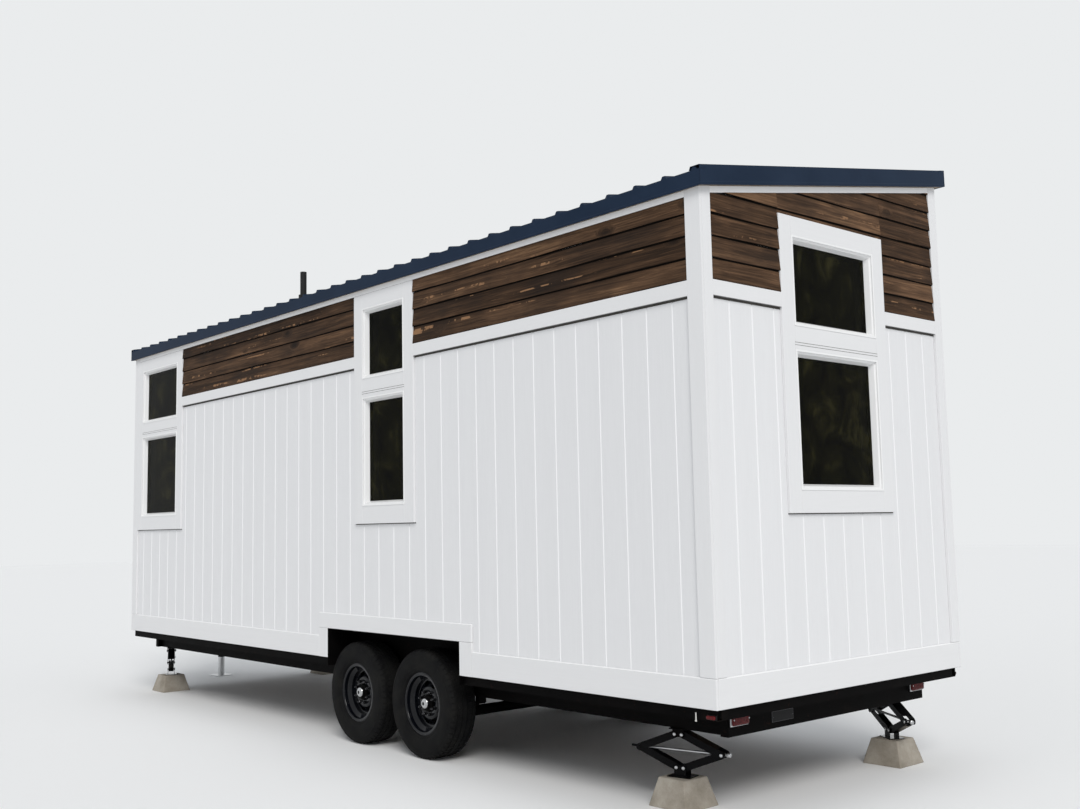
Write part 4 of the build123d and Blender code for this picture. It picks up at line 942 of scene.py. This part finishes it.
rim = {
    "sides": 96,
    "barrel": [
        (0.2195, 0.0955), (0.2220, 0.0940), (0.2220, 0.0900), (0.2190, 0.0888), (0.2030, 0.0888), (0.2030, 0.0620),
        (0.1830, 0.0400), (0.1800, 0.0370), (0.1800, -0.0370), (0.2030, -0.0600), (0.2030, -0.0888), (0.2200, -0.0888),
        (0.2200, -0.0955), (0.1965, -0.0955), (0.1965, -0.0630), (0.1735, -0.0400), (0.1735, 0.0390),
        (0.1765, 0.0425), (0.1962, 0.0640), (0.1962, 0.0900), (0.1985, 0.0935), (0.2060, 0.0945), (0.2090, 0.0962),
    ],
    "disc": [
        (0.0620, 0.0360), (0.0680, 0.0395), (0.1000, 0.0410), (0.1100, 0.0400), (0.1165, 0.0370), (0.1230, 0.0300),
        (0.1340, 0.0210), (0.1460, 0.0140), (0.1545, 0.0110), (0.1600, 0.0120), (0.1680, 0.0150), (0.1738, 0.0150),
    ],
    "thick": 0.0065, "holes": 8, "holeRings": (4, 9), "perSpoke": 12, "spoke": 3,
    "drum": [
        (0.0282, -0.095), (0.148, -0.095), (0.152, -0.091), (0.152, -0.030), (0.149, -0.019), (0.062, -0.017),
        (0.062, 0.030), (0.0282, 0.030),
    ],
    "hub": [
        (0.0, 0.030), (0.0605, 0.030), (0.0605, 0.0455), (0.0565, 0.0520), (0.0430, 0.0560), (0.0410, 0.0620),
        (0.0, 0.0620),
    ],
    "cap": [
        (0.0, 0.0600), (0.0385, 0.0600), (0.0395, 0.0620), (0.0390, 0.0720), (0.0365, 0.0785), (0.0310, 0.0838),
        (0.0230, 0.0870), (0.0140, 0.0880), (0.0125, 0.0872), (0.0, 0.0868),
    ],
    "plug": [(0.0, 0.0866), (0.0120, 0.0866), (0.0118, 0.0878), (0.0090, 0.0886), (0.0, 0.0888)],
}
lug = {
    "count": 8, "circle": 0.0825, "seat": 0.0405, "washer": [(0.0135, 0.0), (0.0135, 0.0030)],
    "nut": [(0.0112, 0.0030), (0.0112, 0.0205), (0.0088, 0.0235)],
    "stud": [(0.0062, 0.0232), (0.0062, 0.0315), (0.0045, 0.0330)],
}


def wheelPiece(name, centre, out):
    body = name + "_wheel"
    angles = [math.tau * n / rim["sides"] for n in range(rim["sides"])]
    wheel = newShape()
    turned(wheel, centre, out, rim["barrel"], angles)
    total, first, last = rim["holes"] * rim["perSpoke"], *rim["holeRings"]

    def place(i, j, back):
        angle, (radius, reach) = math.tau * i / total, rim["disc"][j]
        deep = reach - (rim["thick"] if back else 0.0)
        return centre + Vector((radius * math.cos(angle), out * deep, radius * math.sin(angle)))

    # windows are open cells of the disc, narrower at both ends so that they look rounded
    def there(i, j):
        side = rim["spoke"] + (j in (first, last - 1))
        window = first <= j < last and side <= i % rim["perSpoke"] < rim["perSpoke"] - side
        return 0 <= j < len(rim["disc"]) - 1 and not window

    disc = newShape()
    cellSheet(disc, total, len(rim["disc"]) - 1, place, there)
    join(wheel, disc)
    for key in ("drum", "hub"):
        turned(wheel, centre, out, rim[key], angles, 1)
    finishes = [wheelPaint, shadedFramePaint]
    finishPiece(name + "Wheel", wheel, finishes, body=body, replaced=(name + "_wheel",), smooth=38)
    bright = newShape()
    for finish, key in enumerate(("cap", "plug")):
        turned(bright, centre, out, rim[key], angles, finish)
    for n in range(lug["count"]):
        angle = math.tau * (n + 0.5) / lug["count"]
        spot = centre + Vector((lug["circle"] * math.cos(angle), out * lug["seat"], lug["circle"] * math.sin(angle)))
        for key, sides, spin in (("washer", 18, 0.0), ("nut", 6, angle), ("stud", 12, 0.0)):
            stud(bright, spot, across * out, lug[key], sides, 2, spin)
    finishPiece(name + "HubCap", bright, [chromeCap, blackTrim, lugSteel], body=body, smooth=38)


for name, out in (("left_front", -1), ("left_rear", -1), ("right_front", 1), ("right_rear", 1)):
    low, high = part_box(name + "_tyre")
    tyrePiece(name, (low + high) / 2, out)
    wheelPiece(name, (low + high) / 2, out)
print("wheels mounted")

# concrete piers: truncated pyramids with worn edges and a slightly uneven cast
pier = {
    "base": 0.290, "crown": 0.200, "height": 0.165, "edge": 0.007,
    "uneven": 0.0012, "cuts": 10, "shortest": 0.05, "even": (0.012, 0.003),
}
jackSpots = {  # place of each jack and pier, and the jack's turn in degrees
    "rear_left": (xRear - 0.540, yMiddle - 0.935, 13), "rear_right": (xRear - 0.334, yMiddle + 0.935, 33),
    "front_left": (xFront + 0.254, yMiddle - 0.935, 24), "front_right": (xFront + 0.254, yMiddle + 0.935, 24),
}
pierDraw = random.Random(23)
piers = newShape()
for x, y, _ in jackSpots.values():
    shape = newShape()
    bmesh.ops.create_cube(shape, size=1.0)
    for vert in shape.verts:
        wide = pier["crown"] if vert.co.z > 0 else pier["base"]
        vert.co = Vector((x + vert.co.x * wide, y + vert.co.y * wide, (vert.co.z + 0.5) * pier["height"]))
    ease(shape, pier["edge"], 3, 0.6)
    longEdges = [edge for edge in shape.edges if edge.calc_length() > pier["shortest"]]
    bmesh.ops.subdivide_edges(shape, edges=longEdges, cuts=pier["cuts"], use_grid_fill=True)
    for vert in shape.verts:
        if pier["even"][0] < vert.co.z < pier["height"] - pier["even"][1]:
            vert.co += Vector((pierDraw.uniform(-1, 1), pierDraw.uniform(-1, 1), 0)) * pier["uneven"]
    join(piers, shape)
finishPiece("pierBlocks", piers, [concrete], replaced=("pier_blocks",), smooth=45)

# jack fittings: pivot heads, the threaded screw with the pin in its elbow, and its crank eye
jack = {
    "topPin": 0.409, "footPin": 0.2173, "elbow": 0.31315, "reach": 0.27055, "pinX": 0.0235,
    "bracketFace": 0.043, "armFace": 0.034, "rod": 0.0080, "thread": 0.0050, "depth": 0.0012, "tipCut": 0.0015,
    "stub": 0.046, "nutStub": 0.070, "sides": 16, "sunk": 0.0003, "pin": 0.006,
    "head": [(0.0105, 0.0), (0.0105, 0.0020), (0.0085, 0.0045), (0.0050, 0.0056)],
    "eye": [(0.0105, 0.0), (0.013, 0.002), (0.013, 0.022), (0.0105, 0.024)],
}


def jackFittings(name, x, y, degrees):
    bearing = math.radians(degrees)
    ahead = Vector((math.copysign(math.cos(bearing), x), math.copysign(math.sin(bearing), -y), 0))
    aside = upward.cross(ahead)

    def spot(u, z, face):
        return Vector((x, y, z)) + ahead * u + aside * face

    pins = {
        "bracket": [(way * jack["pinX"], jack["topPin"], jack["bracketFace"]) for way in (-1, 1)],
        "foot": [(way * jack["pinX"], jack["footPin"], jack["armFace"]) for way in (-1, 1)],
        "screw": [(jack["reach"], jack["elbow"], jack["armFace"])],
        "nut_upper_arm": [(-jack["reach"], jack["elbow"], jack["armFace"])],
    }
    for part, places in pins.items():
        heads = newShape()
        for u, z, face in places:
            for way in (-1, 1):
                stud(heads, spot(u, z, way * (face - jack["sunk"])), aside * way, jack["head"], 20)
        body = "root" if part == "bracket" else f"{name}_jack_{part}"
        metal = jackPaint if part == "nut_upper_arm" else zinc  # the nut elbow's pin is painted with its arm
        finishPiece(f"{name}_{part}_pinHeads", heads, [metal], body=body, smooth=40)

    shape, rings, sides = newShape(), [], jack["sides"]
    start = jack["reach"] + jack["stub"]
    length = start + jack["reach"] + jack["nutStub"]
    steps = int(length / jack["thread"] * 4)
    for n in range(steps + 1):
        u = start - length * n / steps
        ring = []
        for k in range(sides):
            groove = abs(2 * ((u / jack["thread"] + k / sides) % 1.0) - 1)
            radius = jack["rod"] - (jack["tipCut"] if n in (0, steps) else jack["depth"] * groove)
            angle = math.tau * k / sides
            turn = aside * math.cos(angle) + upward * math.sin(angle)
            ring.append(shape.verts.new(spot(u, jack["elbow"], 0) + turn * radius))
        rings.append(ring)
    faces = loft(shape, rings)
    bare = steps * (1 - jack["nutStub"] / length)
    for n, face in enumerate(faces[:-2]):
        face.material_index = int(n // sides > bare)
    faces[-1].material_index = 1
    screw = newShape()
    join(screw, shape, 0.5, None)
    pin = [(jack["pin"], 0.0), (jack["pin"], 2 * jack["armFace"])]
    stud(screw, spot(jack["reach"], jack["elbow"], -jack["armFace"]), aside, pin, 20)
    stud(screw, spot(start - jack["eye"][-1][1], jack["elbow"], 0), ahead, jack["eye"], 24)
    body = f"{name}_jack_screw"
    finishPiece(f"{name}_jack_thread", screw, [zinc, jackPaint], body=body, replaced=(body,), smooth=40)


for name, (x, y, degrees) in jackSpots.items():
    jackFittings(name, x, y, degrees)
print("jacks fitted")

hexNut = [(0.0115, 0.0), (0.0115, 0.0085), (0.0098, 0.0100)]
eyeNut = [(0.016, -0.0004), (0.016, 0.002), *((radius, rise + 0.002) for radius, rise in hexNut)]

# spring clamps over both axles: bolts bent round the tube, a plate and its nuts, and the nuts at the springs' eyes
gear = {
    "axles": (1.0115, 1.8715), "side": 0.935, "tube": 0.285, "bend": 0.0435, "clampTop": 0.392,
    "plate": (0.3634, 0.3724), "plateHalf": (0.060, 0.050), "bolt": 0.0065, "legs": 0.0375, "steps": 14,
    "eyes": 0.330, "eyeHeight": 0.403, "halfSpring": 0.030,
}
fittings = newShape()
rise = upward * (gear["clampTop"] - gear["tube"])
foot, top = gear["plate"]
deep, wide = gear["plateHalf"]
for side in (-1, 1):
    y = yMiddle + side * gear["side"]
    for x in gear["axles"]:
        for way in (-1, 1):
            hub = Vector((x, y + way * gear["legs"], gear["tube"]))
            turns = [math.pi * (1 + n / gear["steps"]) for n in range(gear["steps"] + 1)]
            bend = [hub + (along * math.cos(a) + upward * math.sin(a)) * gear["bend"] for a in turns]
            bentBar(fittings, [bend[0] + rise, *bend, bend[-1] + rise], gear["bolt"], 10)
            for end in (bend[0], bend[-1]):
                stud(fittings, Vector((end.x, end.y, top)), upward, hexNut, 6)
            for face in (-1, 1):
                eye = Vector((x + way * gear["eyes"], y + face * gear["halfSpring"], gear["eyeHeight"]))
                stud(fittings, eye, across * face, eyeNut, 6)
        addBlock(fittings, (x - deep, y - wide, foot), (x + deep, y + wide, top), 0.0015)
finishPiece("springClamps", fittings, [shadedFramePaint], smooth=35)

# ball coupler: a latch lever, its pivot and the bolts through the heel, placed from the tip
tip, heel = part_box("coupler")
hitch = {
    "lever": [(0.115, 0.523), (0.140, 0.548), (0.175, 0.556), (0.235, 0.590), (0.262, 0.592)],
    "section": ((-0.012, -0.002), (0.012, -0.002), (0.012, 0.002), (-0.012, 0.002)),
    "pivot": (0.120, 0.520), "pivotRings": [(0.022, 0.0), (0.022, 0.008), (0.017, 0.016), (0.009, 0.020)],
    "bolts": (0.150, 0.215), "boltSide": 0.0447, "boltHeight": 0.485,
}
latch = newShape()
for ends in zip(hitch["lever"], hitch["lever"][1:]):
    shape = newShape()
    loft(shape, [[shape.verts.new((tip.x + x, yMiddle + dy, z + dz)) for dy, dz in hitch["section"]] for x, z in ends])
    join(latch, shape)
pivot = Vector((tip.x + hitch["pivot"][0], yMiddle, hitch["pivot"][1]))
stud(latch, pivot, upward, hitch["pivotRings"], 24, 1)
for side in (-1, 1):
    for x in hitch["bolts"]:
        spot = Vector((tip.x + x, yMiddle + side * hitch["boltSide"], hitch["boltHeight"]))
        stud(latch, spot, across * side, hexNut, 6, 1)
finishPiece("couplerLatch", latch, [shadedFramePaint, zinc], smooth=35)

# tongue jack: a cap, a side crank with its grip, and the collar's bolts
winder = {
    "cap": [(0.034, 0.0), (0.034, 0.003), (0.026, 0.010), (0.010, 0.014)], "sunk": 0.0005,
    "hub": [(0.016, 0.0), (0.016, 0.014), (0.010, 0.018), (0.010, 0.030)], "hubDrop": 0.045, "hubSide": 0.0375,
    "armSide": 0.0635, "armBack": -0.35, "arm": 0.150, "heel": 0.012, "corner": 0.01, "handle": (0.004, 0.020, 0.110),
    "rod": 0.0060, "gripSide": 0.030,
    "grip": [(0.0115, 0.0), (0.0145, 0.004), (0.0135, 0.040), (0.0145, 0.074), (0.0105, 0.079)],
    "bolts": (0.046, 0.060, 0.5799),
}
crank = newShape()
low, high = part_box("tongue_jack_leg")
post = Vector(((low.x + high.x) / 2, yMiddle, heel.z))
stud(crank, post - upward * winder["sunk"], upward, winder["cap"], 32)
hub = post - upward * winder["hubDrop"]
stud(crank, hub + across * winder["hubSide"], across, winder["hub"], 24, 1)
start, down = hub + across * winder["armSide"], (along * winder["armBack"] - upward).normalized()
bend = start + down * winder["arm"]
path = [start - down * winder["heel"], start, bend - down * winder["corner"]]
path += [bend + across * reach for reach in winder["handle"]]
bentBar(crank, path, winder["rod"], 12, 1)
stud(crank, bend + across * winder["gripSide"], across, winder["grip"], 24)
x, y, z = winder["bolts"]
for side in (-1, 1):
    for way in (-1, 1):
        stud(crank, Vector((post.x + way * x, yMiddle + side * y, z)), upward, hexNut, 6, 1)
finishPiece("tongueJackCrank", crank, [shadedFramePaint, zinc], smooth=35)
print("running gear fitted")

# entry door: a glazed upper half and two raised panels on the leaf, with its lever, bolt, hinges and sill
leaf = {
    "face": -0.011, "edge": 0.0365, "stile": 0.125, "lite": (1.660, 2.640), "panels": (0.965, 1.545), "gap": 0.070,
    "moulding": [(-0.016, 0.0), (-0.016, 0.006), (-0.010, 0.012), (0.000, 0.012), (0.007, 0.007), (0.010, 0.0)],
    "pane": (0.009, (-0.002, 0.003), 0.001), "field": (0.032, (-0.001, 0.007), 0.006),  # inset, depths, edge
    "lever": 1.760, "latchIn": 0.060, "sunk": 0.0005, "rod": 0.0085,
    "hinges": (1.05, 1.81, 2.57), "hingeSpot": (-0.001, 0.004), "knuckles": 5, "knucklePitch": 0.020,
    "thumbTurn": ((-0.002, 0.0135, 0.133), (0.002, 0.0225, 0.148)),
    "sill": ((0.002, -0.004, 0.003), (-0.002, 0.020, 0.026)),
    "rose": [(0.030, 0.0), (0.030, 0.006), (0.022, 0.013), (0.019, 0.013)],
    "bolt": [(0.028, 0.0), (0.028, 0.007), (0.021, 0.014)], "boltHeight": 1.900,
    "leverPath": ((0.0, 0.010), (0.0, 0.044), (-0.006, 0.052), (-0.020, 0.054), (-0.118, 0.054)),
    "knuckle": [(0.0055, 0.0), (0.0065, 0.0008), (0.0065, 0.0186), (0.0055, 0.0194)],
}
doorWall, leafFace = walls["right"], yHigh + leaf["face"]
doorTrim, doorPane, doorMetal = newShape(), newShape(), newShape()


# a raised block that stands inside a moulding
def field(target, u, z, inset, deep, edge):
    low = (u[0] + inset, leafFace + deep[0], z[0] + inset)
    addBlock(target, low, (u[1] - inset, leafFace + deep[1], z[1] - inset), edge)


low, high = entry["low"] + leaf["edge"] + leaf["stile"], entry["high"] - leaf["edge"] - leaf["stile"]
middle, half = (low + high) / 2, leaf["gap"] / 2
ringRound(doorTrim, doorWall, (low, high), leaf["lite"], leaf["moulding"], leaf["face"])
field(doorPane, (low, high), leaf["lite"], *leaf["pane"])
for span in ((low, middle - half), (middle + half, high)):
    ringRound(doorTrim, doorWall, span, leaf["panels"], leaf["moulding"], leaf["face"])
    field(doorTrim, span, leaf["panels"], *leaf["field"])
rose = Vector((entry["high"] - leaf["edge"] - leaf["latchIn"], leafFace, leaf["lever"]))
for z, key in ((leaf["lever"], "rose"), (leaf["boltHeight"], "bolt")):
    stud(doorMetal, Vector((rose.x, leafFace - leaf["sunk"], z)), across, leaf[key], 32)
bentBar(doorMetal, [rose + along * x + across * y for x, y in leaf["leverPath"]], leaf["rod"], 16)
addBlock(doorMetal, *(rose + Vector(corner) for corner in leaf["thumbTurn"]), 0.001)
x, y = leaf["hingeSpot"]
for z in leaf["hinges"]:
    for n in range(leaf["knuckles"]):
        knuckle = Vector((entry["low"] + leaf["edge"] + x, leafFace + y, z + leaf["knucklePitch"] * n))
        stud(doorMetal, knuckle, upward, leaf["knuckle"], 16)
ends = (Vector((entry[end], yHigh + house["trim"], entry["foot"])) for end in ("low", "high"))
addBlock(doorMetal, *(end + Vector(corner) for end, corner in zip(ends, leaf["sill"])), 0.004, 2)
finishPiece("doorPanels", doorTrim, [trimPaint[2]], smooth=30)
finishPiece("doorGlass", doorPane, [doorGlass])
finishPiece("doorHardware", doorMetal, [alloy], smooth=35)
print("door fitted")

# lamps on the rear rail: layers of (shrink, start, stop, edge, finish) are a base, a bezel and a ribbed red lens
lamp = {
    "x": 4.513, "side": 0.915, "z": 0.536, "half": (0.080, 0.0425),
    "layers": ((0.0, 0.0, 0.007, 0.003, 1), (0.004, 0.006, 0.0135, 0.0025, 2), (0.009, 0.0125, 0.0285, 0.009, 0)),
    "ribs": 9, "ribPitch": 0.0135, "ribHalf": (0.0022, 0.024), "ribDeep": (0.026, 0.0305),
    "screwSide": 0.0655, "screwSeat": 0.0280, "screw": [(0.0040, 0.0), (0.0040, 0.0018), (0.0022, 0.0026)],
}
lamps = newShape()
for side in (-1, 1):
    y, z = yMiddle + side * lamp["side"], lamp["z"]
    for shrink, start, stop, edge, finish in lamp["layers"]:
        wide, tall = (value - shrink for value in lamp["half"])
        low = (lamp["x"] + start, y - wide, z - tall)
        addBlock(lamps, low, (lamp["x"] + stop, y + wide, z + tall), edge, 3, finish)
    wide, tall = lamp["ribHalf"]
    start, stop = lamp["ribDeep"]
    for n in range(lamp["ribs"]):
        at = y + (n - (lamp["ribs"] - 1) / 2) * lamp["ribPitch"]
        addBlock(lamps, (lamp["x"] + start, at - wide, z - tall), (lamp["x"] + stop, at + wide, z + tall), 0.0015)
    for way in (-1, 1):
        seat = Vector((lamp["x"] + lamp["screwSeat"], y + way * lamp["screwSide"], z))
        stud(lamps, seat, along, lamp["screw"], 14, 2)

# small markers at the corners' sides
marker = {
    "x": (4.566, 4.632), "z": (0.576, 0.600), "squash": 0.6,
    "layers": ((0.0, -0.0005, 0.006, 0.002, 1), (0.003, 0.005, 0.020, 0.006, 0)),
}
railLow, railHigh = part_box("crossmembers")
for face, side in ((railLow.y, -1), (railHigh.y, 1)):
    for inset, start, stop, edge, finish in marker["layers"]:
        near, far = sorted((face + side * start, face + side * stop))
        low = (marker["x"][0] + inset, near, marker["z"][0] + inset * marker["squash"])
        high = (marker["x"][1] - inset, far, marker["z"][1] - inset * marker["squash"])
        addBlock(lamps, low, high, edge, 3, finish)
finishPiece("tailLamps", lamps, [redLens, blackTrim, zinc], replaced=("tail_lights",), smooth=35)

# a bare plate on the rear rail and a pale tie that hangs at the side
plate = {
    "x": 4.5135, "y": (-0.632, -0.430), "z": (0.476, 0.538), "rim": 0.0025, "screwIn": 0.010, "middle": 0.507,
    "deep": 0.002, "field": (0.0015, 0.0026), "screwSeat": 0.0024,
    "screw": [(0.0040, 0.0), (0.0040, 0.0014), (0.0024, 0.0024)],
    "tie": (  # low corner, high corner, edge
        ((4.4795, -0.0030, 0.5600), (4.4885, -0.0004, 0.6040), 0.0010),
        ((4.4775, -0.0050, 0.5545), (4.4905, -0.0004, 0.5635), 0.0015),
    ),
}
extras = newShape()
(left, right), (foot, top) = plate["y"], plate["z"]
addBlock(extras, (plate["x"], left, foot), (plate["x"] + plate["deep"], right, top), 0.0008)
start, stop = (plate["x"] + reach for reach in plate["field"])
low = (start, left + plate["rim"], foot + plate["rim"])
addBlock(extras, low, (stop, right - plate["rim"], top - plate["rim"]), 0.0005, 1, 1)
for y in (left + plate["screwIn"], right - plate["screwIn"]):
    stud(extras, Vector((plate["x"] + plate["screwSeat"], y, plate["middle"])), along, plate["screw"], 14)
for low, high, edge in plate["tie"]:
    addBlock(extras, Vector(low) + across * railLow.y, Vector(high) + across * railLow.y, edge, 1, 2)
finishPiece("plateAndTie", extras, [lugSteel, blackTrim, paleStrap], smooth=35)

# end plates close the end rails' open channels
rail = {
    "flange": 0.057, "half": 1.0, "foot": 0.4412, "head": 0.6438, "plate": 0.0025,
    "sunk": 0.0002, "inset": 0.0005, "edge": 0.0008,
}
caps = newShape()
for x in (lamp["x"] - rail["flange"], railLow.x):
    for side in (-1, 1):
        y = yMiddle + side * rail["half"]
        near, far = sorted((y - side * rail["sunk"], y + side * rail["plate"]))
        high = (x + rail["flange"] - rail["inset"], far, rail["head"])
        addBlock(caps, (x + rail["inset"], near, rail["foot"]), high, rail["edge"])
finishPiece("railEndPlates", caps, [shadedFramePaint])
print("lamps and plate fitted")

# finishes for the frame's nodes that keep their own shape, by the ends of their names
nodeFinishes = (
    (floorBoard, "floor"), (shadedPine, "_wall", "roof_deck"), (navySheet, "roof_panels", "roof_trim"),
    (ventBlack, "vent_pipe"),
    (shadedFramePaint, "rails", "crossmembers", "coupler", "axles", "leaf_springs", "wheel_wells"),
    (concrete, "pier_blocks"), (zinc, "tongue_jack_leg", "_screw"), (trimPaint[2], "door"), (darkGlass, "window_glass"),
    (rubber, "_tyre"), (wheelPaint, "_wheel"), (jackPaint, "_arm", "_foot"),
)
for name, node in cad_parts.items():
    finish = next((finish for finish, *endings in nodeFinishes if name.endswith(tuple(endings))), None)
    if finish:
        node.data.materials.clear()
        node.data.materials.append(finish)
        for polygon in node.data.polygons:
            polygon.material_index = 0

# pale studio floor
ground = {"size": 60.0, "color": (0.90, 0.90, 0.90), "rough": 0.9}
floorShape = newShape()
bmesh.ops.create_grid(floorShape, x_segments=1, y_segments=1, size=ground["size"])
floorData = bpy.data.meshes.new("studioFloor")
floorShape.to_mesh(floorData)
floorShape.free()
floorData.materials.append(Finish("studioFloor", ground["color"], ground["rough"]).material)
floorObject = bpy.data.objects.new("studioFloor", floorData)
scene.collection.objects.link(floorObject)
